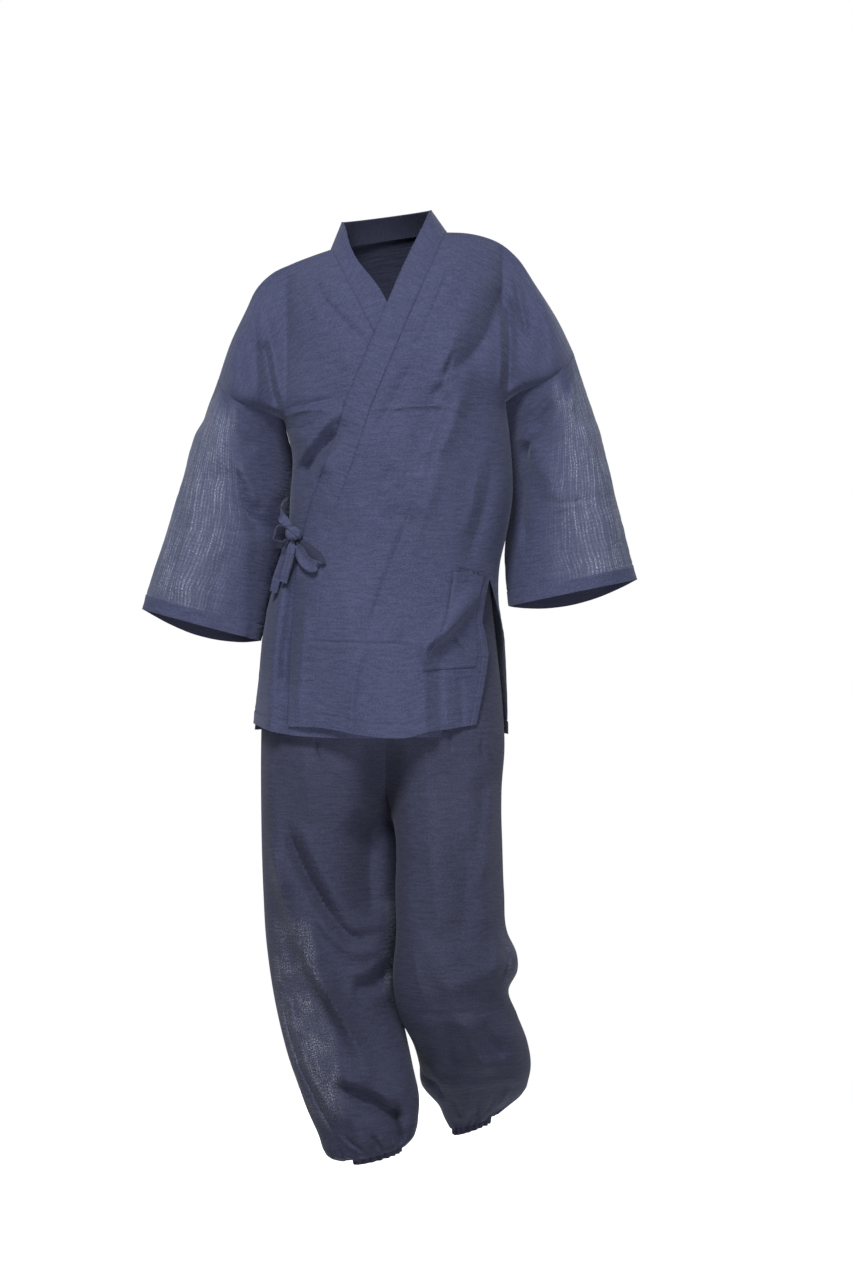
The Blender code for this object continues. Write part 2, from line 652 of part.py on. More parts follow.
def collar_half(side, panel):
    """The band along one front: its seam, middle and free edge, rows from the neck to the hem."""
    sign = -1 if side == "left" else 1
    over = side == "left"
    seam = panel[:, 0]
    fall = seam[0, 2] - seam[:, 2]
    run = np.gradient(seam, axis=0)
    run /= np.linalg.norm(run[:, [0, 2]], axis=1)[:, None]
    across = np.stack((-run[:, 2], run[:, 0]), axis=-1) * (1 if side == "right" else -1)
    tip_x, tip_z = COLLAR_TIPS[side]
    at_neck = np.array((tip_x * MM - seam[0, 0], tip_z * MM - seam[0, 2]))
    at_neck = at_neck / np.linalg.norm(at_neck)
    near = (1 - smooth(fall / COLLAR_TURNS))[:, None]
    level = smooth((-seam[:, 2] - COLLAR_LEVEL_FROM) / COLLAR_LEVEL_GROWS)[:, None]
    across = across * (1 - near) * (1 - level) + at_neck * near + np.array((sign, 0)) * level
    across /= np.linalg.norm(across, axis=1)[:, None]
    turned = COLLAR_TURNED[side] * np.exp(-(((fall - COLLAR_TURN_AT) / COLLAR_TURN_SPREADS) ** 2))
    width = (COLLAR_WIDTH + COLLAR_FLARE * near[:, 0]) * (1 - turned)
    strip = []
    for share in COLLAR_SHARES:
        reach = COLLAR_SEAM[side] + width * share
        x = seam[:, 0] + across[:, 0] * reach
        z = seam[:, 2] + across[:, 1] * reach
        lying = front_surface(x, z, over)[:, 1]
        lifted = COLLAR_LAID + (COLLAR_CROWN - COLLAR_LAID) * 4 * share * (1 - share)
        lying = lying - over * lifted * (1 - near[:, 0])
        standing = seam[:, 1] - COLLAR_BOW * np.sin(np.pi * share)
        y = standing + (lying - standing) * smooth(fall / COLLAR_STANDS)
        if share == COLLAR_SHARES[0]:
            y = seam[:, 1]
        strip.append(np.stack((x, y, z), axis=-1))
    return np.stack(strip, axis=1)


def collar(right_panel, left_panel):
    """The whole band: up the right front, round the neck and down the left front."""
    t = np.linspace(0, 1, COLLAR_NECK_PARTS + 1)[1:-1]
    base = neck_base(np.pi * (1 - t)) + np.array((0, 0, COLLAR_LIFT))
    top = neck_top(np.pi * (1 - t))
    middle = (base + top) / 2 + np.array((0, COLLAR_BULGE, 0)) * np.sin(np.pi * t)[:, None]
    neck = np.stack((base, middle, top), axis=1)
    return np.concatenate((
        collar_half("right", right_panel)[::-1],
        neck,
        collar_half("left", left_panel),
    ))


def sleeve(side):
    """Outer points of a sleeve: rings from the armhole to the cuff, round by the front."""
    def read(name, at):
        return column(SLEEVE[side], SLEEVE_COLUMNS, name, at)

    half_round = np.linspace(0, 1, UPPER_ROWS + 1)
    around = np.concatenate((half_round, half_round[-2:0:-1]))
    front = np.arange(len(around)) <= UPPER_ROWS
    facing = np.where(front, -1, 1)
    rows = []
    for along in np.linspace(0, 1, SLEEVE_ROWS + 1):
        pointed = 1 - np.cos(np.pi * around / 2)
        rounded = (1 - np.cos(np.pi * around)) / 2
        share = pointed + (rounded - pointed) * smooth(along / SLEEVE_ROUNDS)
        x = read("outer_x", along) + (read("inner_x", along) - read("outer_x", along)) * share
        drop = read("outer_drop", along) + (read("inner_drop", along) - read("outer_drop", along)) * share
        depth = np.where(front, read("front", along), read("back", along))
        y = read("middle", along) + read("behind", along) * share**2
        y = y + facing * depth * np.sin(np.pi * around)
        sag = np.where(front, SLEEVE_SAG, SLEEVE_SAG / 2) * (1 - along)
        sag = sag + np.where(front, 0, CUFF_BACK) * along
        rows.append(np.stack((x, y, -drop - sag * np.sin(np.pi * around) ** 2), axis=-1))
    points = np.array(rows)
    centre = points.mean(axis=1, keepdims=True)
    out = points - centre
    out /= np.linalg.norm(out, axis=2)[..., None]
    relief = folds(SLEEVE_FOLDS[side], points[..., 0], -points[..., 2])
    along = np.linspace(0, 1, SLEEVE_ROWS + 1)[:, None, None]
    points = points + out * relief[..., None] * smooth(along / SLEEVE_FOLDS_GROW)
    seam = armhole(side)
    points = points + (seam - points[0]) * (1 - smooth(along / SLEEVE_LEAVES))
    down = points[1] - points[0]
    points[0] += ARMHOLE_SEAM * down / np.linalg.norm(down, axis=1)[:, None]
    points[0, :, 0] += np.sign(points[0, :, 0]) * SEAM * pointed**4
    return points


def armhole(side):
    """The edge that both body panels share with the sleeve, round by the front from its top."""
    d = np.linspace(0, 1, UPPER_ROWS + 1)[:, None]
    u = np.ones((1, 1))
    front = np.stack(armhole_rows(side, u, d, -1, NECK_SEAM[side]), axis=-1)[:, 0]
    back = np.stack(armhole_rows(side, u, d, 1, NECK_SEAM[side]), axis=-1)[:, 0]
    return np.concatenate((front, back[-2:0:-1]))


def hips(name, drop):
    value = column(HIPS, HIPS_COLUMNS, name, drop)
    if name != "right":
        return value
    held = body("right", drop) + CLOTH + SEAT
    return held + (value - held) * smooth((drop - WAIST_SEAM) / (HIPS_FREE - WAIST_SEAM))


def waistband():
    """Outer points of the plain waistband, a ring that the jacket rests on at the right hip."""
    angle = np.linspace(0, 2 * np.pi, WAIST_PARTS, endpoint=False)
    rows = []
    for drop in np.linspace(WAIST_TOP, WAIST_SEAM, WAIST_ROWS):
        middle = (hips("left", drop) + hips("right", drop)) / 2
        half = (hips("left", drop) - hips("right", drop)) / 2
        depth = np.where(np.sin(angle) > 0, hips("front", drop), hips("back", drop))
        x = middle + half * np.cos(angle)
        y = -np.sign(np.sin(angle)) * np.abs(depth) * np.abs(np.sin(angle)) ** FULLNESS
        rows.append(np.stack((x, y, np.full_like(x, -drop)), axis=-1))
    return np.array(rows)


def leg_row(side, face, drop):
    """One row of a leg panel, from the centre seam or inseam round to the side seam."""
    sign = -1 if side == "right" else 1
    t = np.linspace(0, 1, LEG_ACROSS + 1)
    if drop < CROTCH_DROP:
        outer = sign * hips(side, drop)
        rise = np.clip((drop - RISE_START) / (CROTCH_DROP - RISE_START), 0, 1)
        shift = outer / 2 * (1 - (1 - rise) ** CROTCH_CURVE)
        half = outer - shift
        start = np.arccos(np.clip(shift / half, 0, 1))
        depth = abs(hips(face, drop))
        middle_y = 0.0
        gap = SEAM / 2
    else:
        outer = sign * column(LEG[side], LEG_COLUMNS, "outer", drop)
        inner = sign * column(LEG[side], LEG_COLUMNS, "inner", drop)
        shift, half = (outer + inner) / 2, (outer - inner) / 2
        start = 0.0
        depth = column(LEG[side], LEG_COLUMNS, face, drop)
        middle_y = column(LEG[side], LEG_COLUMNS, "middle", drop)
        gap = 0.0
    angle = start + (np.pi - start) * t
    turned = INSEAM_TURN[side] * smooth((drop - CROTCH_DROP) / INSEAM_TURN_GROWS)
    turned = turned * (1 - smooth((drop - INSEAM_TURN_UNTIL) / INSEAM_TURN_FADES))
    middle_y = middle_y + turned * (1 + np.cos(angle)) / 2
    across = shift - half * np.cos(angle)
    x = sign * (across + gap)
    facing = -1 if face == "front" else 1
    y = middle_y + facing * (depth * np.sin(angle) ** FULLNESS + LEG_SEAM)
    tilt, about = ANKLE_TILT[side]
    hanging = np.minimum(drop, 2 * TURN_UP[side] - drop)
    z = -hanging + tilt * (x - about * MM) * smooth((drop - ANKLE_TILT_FROM) / ANKLE_TILT_GROWS)
    return np.stack((x, y, z), axis=-1)


def leg_panel(side, face):
    drops = np.array(LEG_DROPS["hips"] + LEG_DROPS[side]) * MM
    points = np.array([leg_row(side, face, drop) for drop in drops])
    facing = -1 if face == "front" else 1
    across = np.sin(np.pi * np.linspace(0, 1, LEG_ACROSS + 1))
    steady = smooth((drops - LEG_FOLDS_FROM) / LEG_FOLDS_GROW)
    steady = steady * (1 - smooth((drops - drops[-3]) / LEG_FOLDS_FADE))
    table = LEG_FOLDS[side]
    if face == "back":
        table = tuple((x1, low, x2, high, width, -height) for x1, low, x2, high, width, height in table)
    relief = folds(table, points[..., 0], -points[..., 2])
    points[..., 1] += facing * relief * across * steady[:, None]
    return points


def casing(side):
    """Outer points of the gathered ankle hem, waves growing from its seam to its edge."""
    drop = LEG_DROPS[side][-1] * MM
    parts = GATHERS * GATHER_STEPS
    turn = np.linspace(0, 2 * np.pi, parts, endpoint=False)
    row = {face: leg_row(side, face, drop) for face in ("front", "back")}
    ring = np.concatenate((row["front"], row["back"][::-1][1:-1]))
    along = np.linspace(0, len(ring), parts, endpoint=False)
    loop = np.concatenate((ring, ring[:1]))
    base = np.stack([np.interp(along, np.arange(len(loop)), loop[:, k]) for k in range(3)], axis=-1)
    centre = base.mean(axis=0)
    out = base - centre
    out[:, 2] = 0
    out /= np.linalg.norm(out, axis=1)[:, None]
    rows = []
    for share in np.linspace(0, 1, CASING_ROWS):
        wave = GATHER_HEIGHT * np.cos(GATHERS * turn) * smooth(share / GATHERS_GROW)
        points = base + out * (wave - CASING_SEAM - CASING_LEAN * share)[:, None]
        points[:, 2] -= CASING_HEIGHT * share
        rows.append(points)
    return np.array(rows)


def pocket(panel):
    """Outer points of the patch pocket: the left front's own points, moved out."""
    drops = [UPPER_ROWS + 1 + LOWER_DROPS.index(drop) for drop in POCKET_ROWS]
    cover = (slice(drops[0], drops[1] + 1), slice(POCKET_COLUMNS[0], POCKET_COLUMNS[1] + 1))
    return panel[cover] + normals(panel, False)[cover] * (POCKET_GAP + POCKET_WALL)


def normals(points, closed):
    """Unit normals of a grid, rows downwards and columns to the left seen from outside."""
    down = np.gradient(points, axis=0, edge_order=2 if len(points) > 2 else 1)
    if closed:
        across = (np.roll(points, -1, axis=1) - np.roll(points, 1, axis=1)) / 2
    else:
        across = np.gradient(points, axis=1, edge_order=2 if points.shape[1] > 2 else 1)
    normal = np.cross(down, across)
    return normal / np.linalg.norm(normal, axis=2)[..., None]


def wall(name, outer, thickness, colour, closed=False, outward=1, butted=None):
    """A cloth wall: the outer grid, the same grid moved in by the thickness, and rims between.

    At its butted points the wall is cut square, so that it meets the piece before or behind it.
    """
    normal = normals(outer, closed)
    if butted is not None:
        normal[butted, 1] = 0
        normal /= np.linalg.norm(normal, axis=2)[..., None]
    inner = outer - outward * normal * thickness
    rows, columns = outer.shape[:2]
    points = np.concatenate((outer.reshape(-1, 3), inner.reshape(-1, 3)))
    index = np.arange(rows * columns).reshape(rows, columns)
    far = index + rows * columns
    if closed:
        index = np.concatenate((index, index[:, :1]), axis=1)
        far = np.concatenate((far, far[:, :1]), axis=1)

    def quads(a, b, c, d):
        return np.stack((a.ravel(), b.ravel(), c.ravel(), d.ravel()), axis=1)

    faces = [
        quads(index[:-1, :-1], index[1:, :-1], index[1:, 1:], index[:-1, 1:]),
        quads(far[:-1, :-1], far[:-1, 1:], far[1:, 1:], far[1:, :-1]),
        quads(index[0, :-1], index[0, 1:], far[0, 1:], far[0, :-1]),
        quads(index[-1, :-1], far[-1, :-1], far[-1, 1:], index[-1, 1:]),
    ]
    if not closed:
        faces.append(quads(index[:-1, 0], far[:-1, 0], far[1:, 0], index[1:, 0]))
        faces.append(quads(index[:-1, -1], index[1:, -1], far[1:, -1], far[:-1, -1]))
    faces = np.concatenate(faces)
    if outward < 0:
        faces = faces[:, ::-1]
    return solid(name, points, faces.tolist(), colour)


def solid(name, points, faces, colour):
    mesh = bpy.data.meshes.new(name)
    mesh.from_pydata(points.tolist(), [], faces)
    mesh.shade_smooth()
    mesh.set_sharp_from_angle(angle=SHARP_ANGLE)
    material = bpy.data.materials.new(name)
    material.use_nodes = True
    surface = material.node_tree.nodes["Principled BSDF"]
    surface.inputs["Base Color"].default_value = colour
    surface.inputs["Roughness"].default_value = COTTON_ROUGHNESS
    surface.inputs["Metallic"].default_value = 0.0
    mesh.materials.append(material)
    made = bpy.data.objects.new(name, mesh)
    bpy.context.scene.collection.objects.link(made)
    return made


def tape(name, route, pinched):
    """A flat tie along a smooth route, narrower at a pinched end.

    Each row of the route is a point and the direction across the tape there. On a laid tape, y is
    how far it stands out from the over front.
    """
    rows = np.array(route, float)
    points = rows[:, :3] * MM
    length = np.concatenate(([0], np.cumsum(np.linalg.norm(np.diff(points, axis=0), axis=1))))
    at = np.linspace(0, length[-1], TAPE_STEPS + 1)
    line = np.stack([spline(length, points[:, k], at) for k in range(3)], axis=-1)
    across = np.stack([np.interp(at, length, rows[:, k]) for k in (3, 4, 5)], axis=-1)
    forward = np.gradient(line, axis=0, edge_order=2)
    forward /= np.linalg.norm(forward, axis=1)[:, None]
    across -= forward * np.sum(across * forward, axis=1)[:, None]
    across /= np.linalg.norm(across, axis=1)[:, None]
    half = np.full(len(at), TAPE_WIDTH / 2)
    for end, place in (("start", at), ("end", at[-1] - at)):
        if end in pinched:
            half *= PINCH + (1 - PINCH) * smooth(place / PINCH_LENGTH)
    half = half[:, None]
    grid = np.stack((line - across * half, line, line + across * half), axis=1)
    if name in TIE_LAID:
        out = np.interp(at, length, -rows[:, 1] * MM)[:, None]
        grid[..., 1] = front_surface(grid[..., 0], grid[..., 2], True)[..., 1] - out
    return wall(name, grid + normals(grid, False) * TAPE / 2, TAPE, NAVY)


def knot():
    """The tight knot of the ties: a rounded box with strands slanting across it."""
    rise = np.linspace(0, np.pi, KNOT_RINGS + 1)[1:-1, None]
    turn = np.linspace(0, 2 * np.pi, KNOT_PARTS, endpoint=False)[None, :]

    def square(value):
        return np.sign(value) * np.abs(value) ** KNOT_SQUARENESS

    strands = 1 + KNOT_STRAND_HEIGHT * np.cos(KNOT_STRANDS * turn + KNOT_SLANT * rise) * np.sin(rise)
    x = square(np.sin(rise)) * square(np.cos(turn)) * strands
    y = square(np.sin(rise)) * square(np.sin(turn)) * strands
    z = square(np.cos(rise)) * np.ones_like(turn)
    rings = np.stack((x, y, z), axis=-1).reshape(-1, 3)
    points = np.concatenate((rings, ((0, 0, 1), (0, 0, -1))))
    points = np.array(KNOT_CENTRE) * MM + points * np.array(KNOT_HALF) * MM
    faces = []
    for j in range(KNOT_PARTS):
        following = (j + 1) % KNOT_PARTS
        faces.append((len(rings), j, following))
        for i in range(KNOT_RINGS - 2):
            here, below = i * KNOT_PARTS, (i + 1) * KNOT_PARTS
            faces.append((here + j, below + j, below + following, here + following))
        last = (KNOT_RINGS - 2) * KNOT_PARTS
        faces.append((len(rings) + 1, last + following, last + j))
    return solid("tie_knot", points, faces, NAVY)


def clear_scene():
    for old in list(bpy.data.objects):
        bpy.data.objects.remove(old)


def main():
    clear_scene()
    right, left, back = front_panel("right"), front_panel("left"), back_panel()
    for name, panel, outward in (("front_right", right, -1), ("front_left", left, 1), ("back", back, -1)):
        butted = np.abs(panel[..., 1]) < SEAM
        wall(f"jacket_{name}", panel, CLOTH, NAVY, outward=outward, butted=butted)
    wall("collar", collar(right, left), BAND, NAVY, outward=-1)
    wall("sleeve_right", sleeve("right"), CLOTH, NAVY, closed=True)
    wall("sleeve_left", sleeve("left"), CLOTH, NAVY, closed=True, outward=-1)
    wall("pocket", pocket(left), POCKET_WALL, NAVY)
    knot()
    for name, route in TIES.items():
        tape(name, route, TIE_PINCHED[name])
    wall("waistband", waistband(), CLOTH, TROUSER_NAVY, closed=True)
    for side in ("right", "left"):
        for face in ("front", "back"):
            outward = 1 if (side == "left") == (face == "front") else -1
            panel = leg_panel(side, face)
            butted = np.zeros(panel.shape[:2], bool)
            butted[:, -1] = True
            butted[len(LEG_DROPS["hips"]) :, 0] = True
            wall(f"leg_{side}_{face}", panel, CLOTH, TROUSER_NAVY, outward=outward, butted=butted)
        outward = 1 if side == "left" else -1
        wall(f"ankle_{side}", casing(side), CLOTH, TROUSER_NAVY, closed=True, outward=outward)


main()
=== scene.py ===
import bpy
import numpy as np
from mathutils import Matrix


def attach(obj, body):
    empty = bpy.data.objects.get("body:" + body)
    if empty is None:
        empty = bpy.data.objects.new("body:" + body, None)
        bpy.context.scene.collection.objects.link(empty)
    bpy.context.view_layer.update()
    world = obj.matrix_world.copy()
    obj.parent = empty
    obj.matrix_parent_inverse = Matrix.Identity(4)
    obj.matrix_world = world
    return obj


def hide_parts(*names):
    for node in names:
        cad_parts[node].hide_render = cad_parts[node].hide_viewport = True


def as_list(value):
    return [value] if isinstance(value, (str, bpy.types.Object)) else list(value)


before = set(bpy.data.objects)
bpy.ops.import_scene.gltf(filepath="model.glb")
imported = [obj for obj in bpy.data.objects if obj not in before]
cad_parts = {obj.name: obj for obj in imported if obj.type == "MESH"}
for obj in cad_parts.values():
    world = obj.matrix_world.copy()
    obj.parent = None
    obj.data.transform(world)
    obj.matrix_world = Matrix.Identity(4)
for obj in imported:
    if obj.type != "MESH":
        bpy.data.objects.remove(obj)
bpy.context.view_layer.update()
mm = 0.001  # every table and shape below is in millimetres, and shell() turns it to metres

studio = {
    "lens": 93.75,
    "sensor": 36.0,
    "cameraAt": (0.061, -5.0, -0.603),
    "floorLevel": -1.503,
    "aim": (0, 0, -0.6),  # what the lamps point at
    "floorReach": 1.7,
    "floorParts": 96,
    "floorRoughness": 0.9,
    "floorColour": (0.9, 0.9, 0.905, 1),
    "floorGlow": 0.9,
    "surround": 0.12,  # light from all round
    "backdrop": 1.0,  # how bright the plain backdrop looks
    "key": {"at": (-0.6, -2.5, 1.9), "size": 0.9, "power": 152},
    "fill": {"at": (0.7, -3.2, -1.3), "size": 1.6, "power": 90},
    "rimLeft": {"at": (-2.1, 1.3, 0.6), "size": 1.4, "power": 28},
    "rimRight": {"at": (2.1, 1.3, 0.6), "size": 1.4, "power": 26},
}


def lookAt(thing, at, target):
    # Turns a lamp so that its -Z runs from its place to the target
    thing.location = at
    away = np.array(at) - np.array(target)
    away = away / np.linalg.norm(away)
    level = np.hypot(away[0], away[1])
    thing.rotation_euler = (np.arctan2(level, away[2]), 0, np.arctan2(away[0], -away[1]))


def setStudio():
    # A straight-on camera, a plain pale floor, even light and four soft lamps
    scene = bpy.context.scene
    camera = bpy.data.objects.new("camera", bpy.data.cameras.new("camera"))
    camera.data.lens = studio["lens"]
    camera.data.sensor_width = studio["sensor"]
    camera.location = studio["cameraAt"]
    camera.rotation_euler = (np.pi / 2, 0, 0)
    scene.collection.objects.link(camera)
    scene.camera = camera
    scene.view_settings.view_transform = "Standard"

    world = bpy.data.worlds.new("surround")
    scene.world = world
    world.use_nodes = True
    tree = world.node_tree
    path = tree.nodes.new("ShaderNodeLightPath")
    amount = tree.nodes.new("ShaderNodeMapRange")
    amount.inputs["To Min"].default_value = studio["surround"]
    amount.inputs["To Max"].default_value = studio["backdrop"]
    tree.links.new(path.outputs["Is Camera Ray"], amount.inputs["Value"])
    tree.links.new(amount.outputs["Result"], tree.nodes["Background"].inputs["Strength"])
    tree.nodes["Background"].inputs["Color"].default_value = (1, 1, 1, 1)

    for name in ("key", "fill", "rimLeft", "rimRight"):
        lamp = bpy.data.lights.new(name, "AREA")
        lamp.size = studio[name]["size"]
        lamp.energy = studio[name]["power"]
        holder = bpy.data.objects.new(name, lamp)
        scene.collection.objects.link(holder)
        lookAt(holder, studio[name]["at"], studio["aim"])

    parts, reach = studio["floorParts"], studio["floorReach"]
    turn = np.linspace(0, 2 * np.pi, parts, endpoint=False)
    mesh = bpy.data.meshes.new("floor")
    edge = np.stack((reach * np.cos(turn), reach * np.sin(turn), np.full(parts, studio["floorLevel"])), axis=1)
    mesh.from_pydata(edge.tolist(), [], [list(range(parts))])
    floor = bpy.data.objects.new("floor", mesh)
    scene.collection.objects.link(floor)
    material = bpy.data.materials.new("floorPaint")
    material.use_nodes = True
    surface = material.node_tree.nodes["Principled BSDF"]
    surface.inputs["Base Color"].default_value = studio["floorColour"]
    surface.inputs["Roughness"].default_value = studio["floorRoughness"]
    surface.inputs["Emission Color"].default_value = (1, 1, 1, 1)
    surface.inputs["Emission Strength"].default_value = studio["floorGlow"]
    mesh.materials.append(material)
    floor.visible_diffuse = False  # the glow is for the look of the floor alone
    print("studio: camera, floor and lamps")


setStudio()


def spline(at, knots, values):
    # The smooth curve through the values at the knots, read at each place: cubics with the mean slopes
    at, knots, values = (np.asarray(a, float) for a in (at, knots, values))
    slopes = np.gradient(values, knots)
    i = np.clip(np.searchsorted(knots, at, side="right") - 1, 0, len(knots) - 2)
    length = knots[i + 1] - knots[i]
    t = np.clip((at - knots[i]) / length, 0, 1)
    start = (2 * t**3 - 3 * t**2 + 1) * values[i] + (t**3 - 2 * t**2 + t) * length * slopes[i]
    end = (3 * t**2 - 2 * t**3) * values[i + 1] + (t**3 - t**2) * length * slopes[i + 1]
    return start + end


def lineAt(at, knots, line, curve=np.interp):
    # The points of a line at these places, joined straight or by another curve
    return np.stack([curve(at, knots, line[:, k]) for k in range(line.shape[1])], axis=-1)


def pairs(rows, at, curve=spline):
    # A table of two columns, its second read at values of its first
    rows = np.array(rows, float)
    return curve(at, rows[:, 0], rows[:, 1])


def column(table, wanted, at):
    # One named column of a table, read at values of its first column
    return pairs(np.array(table["rows"], float)[:, [0, table["columns"].index(wanted)]], at)


def ease(t):
    # 0 up to 0, 1 from 1 on, and an S between
    t = np.clip(t, 0, 1)
    return t * t * (3 - 2 * t)


def rising(value, start, run):
    # The same S from the start on, over the run
    return ease((value - start) / run)


def falling(value, start, run):
    # 1 less the same
    return 1 - rising(value, start, run)


def bell(off, width):
    # The bell curve, exp(-(off / width) squared)
    return np.exp(-((off / width) ** 2))


def summed(steps):
    # The sum of the steps before each point
    return np.concatenate(([0], np.cumsum(steps)))


def unit(vectors):
    # The same directions, each one long
    return vectors / np.maximum(np.linalg.norm(vectors, axis=-1), 1e-9)[..., None]


def foldsAt(rows, x, drop):
    # Soft ridges and troughs: a bell across the straight line (x1, drop1) to (x2, drop2)
    total = np.zeros(np.broadcast(x, drop).shape)
    for x1, drop1, x2, drop2, width, height in rows:
        run, fall = x2 - x1, drop2 - drop1
        along = np.clip(((x - x1) * run + (drop - drop1) * fall) / (run**2 + fall**2), 0, 1)
        off = np.hypot(x - x1 - along * run, drop - drop1 - along * fall)
        total += height * bell(off, width)
    return total


crease = {"pieces": 5, "fade": 0.22, "leaning": 0.6, "power": 1.5}  # pieces between two points of its line


def creasesAt(rows, x, drop):
    # Sharper creases. A row has its width, height and lean, and then its line's points x, drop. Across the line
    # the height falls as exp(-(distance / width) ** power). The crease fades at both ends, and a lean of 1
    # makes it four times as steep on the right of its run as on the left.
    x, drop = np.broadcast_arrays(x, drop)
    total = np.zeros(x.shape)
    for width, height, lean, *line in rows:
        line = np.array(line, float).reshape(-1, 2)
        knots = np.arange(len(line))
        path = lineAt(np.linspace(0, knots[-1], crease["pieces"] * knots[-1] + 1), knots, line, spline)
        lengths = np.hypot(*np.diff(path, axis=0).T)
        before = summed(lengths)
        near, side, along = np.full(x.shape, np.inf), np.zeros(x.shape), np.zeros(x.shape)
        for (x1, drop1), (x2, drop2), length, gone in zip(path, path[1:], lengths, before):
            run, fall = x2 - x1, drop2 - drop1
            share = np.clip(((x - x1) * run + (drop - drop1) * fall) / length**2, 0, 1)
            away = np.hypot(x - x1 - share * run, drop - drop1 - share * fall)
            closer = away < near
            near = np.where(closer, away, near)
            side = np.where(closer, np.sign((x - x1) * fall - (drop - drop1) * run), side)
            along = np.where(closer, (gone + share * length) / before[-1], along)
        ends = ease(along / crease["fade"]) * ease((1 - along) / crease["fade"])
        width = width * (1 + crease["leaning"] * lean * side)
        total += height * ends * np.exp(-((near / width) ** crease["power"]))
    return total


def unevenness(a, b, sizeA, sizeB, seed):
    # Smooth noise from -1 to 1: random heights on a lattice, eased between
    heights = np.random.default_rng(seed).uniform(-1, 1, (97, 97))
    p, q = np.broadcast_arrays(a / sizeA + 1000, b / sizeB + 1000)
    i, j = np.floor(p).astype(int), np.floor(q).astype(int)
    s, t = ease(p - i), ease(q - j)
    i, j = i % 96, j % 96
    top = heights[i, j] * (1 - t) + heights[i, j + 1] * t
    low = heights[i + 1, j] * (1 - t) + heights[i + 1, j + 1] * t
    return top * (1 - s) + low * s


puckerWaves = ((60, 75, 1.0), (33, 40, 0.45), (24, 8.5, 0.34), (15, 6, 0.2))  # size across, down, height


def puckers(a, b, seed):
    # The cloth's own unevenness: slow waves, and low crinkles that are wider than high
    waves = [unevenness(a, b, *sizes, seed + k) * height for k, (*sizes, height) in enumerate(puckerWaves)]
    return (waves[0] + waves[1]) + (waves[2] + waves[3])


def finer(first, last, step, spots, spread=5.0, extra=2.5):
    # Places from first to last, a step apart, and closer together near each spot
    at = np.linspace(first, last, 6000)
    dense = 1 + extra * sum(bell(at - spot, spread) for spot in spots)
    count = summed(dense[1:] * np.diff(at) / step)
    return np.interp(np.linspace(0, count[-1], int(count[-1]) + 1), count, at)


def inward(points, fromLast):
    # How far each point lies along its row from the first or the last column
    steps = np.linalg.norm(np.diff(points, axis=1), axis=2)
    far = np.cumsum(steps[:, ::-1] if fromLast else steps, axis=1)
    far = np.concatenate((np.zeros((len(points), 1)), far), axis=1)
    return far[:, ::-1] if fromLast else far


def downward(points, fromLast):
    # The same for each point along its column
    return inward(points.swapaxes(0, 1), fromLast).T


def placeAt(points, distance, fromLast):
    # The column, with its fraction, at this distance in from the first or last one, for each row
    far = inward(points, fromLast)
    far = far[:, ::-1] if fromLast else far
    row = np.arange(len(far))
    j = np.clip((far < distance).sum(axis=1) - 1, 0, far.shape[1] - 2)
    place = j + (distance - far[row, j]) / (far[row, j + 1] - far[row, j])
    return points.shape[1] - 1 - place if fromLast else place


def rowAt(points, distance, fromLast):
    # The same for each column: the row at this distance in
    return placeAt(points.swapaxes(0, 1), distance, fromLast)


hems = {
    "band": 20,
    "slitBand": 11,
    "cuffBand": 24,
    "step": 0.5,
    "stepRun": 1.6,
    "groove": 0.9,
    "grooveWidth": 1.5,
    "pucker": 0.55,
    "puckerSize": (6.5, 14),
    "puckerReach": 8,
    "edge": 1.5,  # how far inside the sewn line its stitches lie
    "stitch": {"pitch": 3.4, "length": 2.3, "width": 0.55, "height": 0.4},
}


def sewnDown(distance, band, a, seed):
    # A hem's folded layers stand out by the step, with a groove and small puckers where they are sewn down
    off = distance - band
    flat = hems["step"] * (1 - ease(off / hems["stepRun"] + 0.5))
    pucker = hems["pucker"] * unevenness(a, distance, *hems["puckerSize"], seed)
    return flat - hems["groove"] * bell(off, hems["grooveWidth"]) + pucker * bell(off, hems["puckerReach"])


stitches = []  # each line's bars, as their eight corners


def sew(points, outward, rows, columns):
    # Stitches along a line over a grid, given by its rows and columns with their fractions. Each is a small
    # bar, narrower at its top, laid along the line at an even pitch.
    rows, columns = np.broadcast_arrays(np.asarray(rows, float), np.asarray(columns, float))

    def read(grid):
        i = np.clip(rows.astype(int), 0, grid.shape[0] - 2)
        j = np.clip(columns.astype(int), 0, grid.shape[1] - 2)
        s, t = (rows - i)[:, None], (columns - j)[:, None]
        top = grid[i, j] * (1 - t) + grid[i, j + 1] * t
        return top * (1 - s) + (grid[i + 1, j] * (1 - t) + grid[i + 1, j + 1] * t) * s

    line, up = read(points), read(normalsOf(points) * outward)
    stitch = hems["stitch"]
    length = summed(np.linalg.norm(np.diff(line, axis=0), axis=1))
    at = np.arange(stitch["pitch"], length[-1] - stitch["pitch"] / 2, stitch["pitch"])
    if len(at) < 2:
        return
    middle = lineAt(at, length, line)
    run, up = unit(np.gradient(middle, axis=0)), unit(lineAt(at, length, up))
    across = np.cross(run, up)
    corners = []
    for end in (-1, 1):
        for side, rise in ((-1, -0.3), (1, -0.3), (0.55, 1), (-0.55, 1)):
            reach = end * stitch["length"] / 2 * (0.8 if rise > 0 else 1)
            corner = middle + run * reach + across * side * stitch["width"] / 2
            corners.append(corner + up * (rise * stitch["height"]))
    stitches.append(np.stack(corners, axis=1))


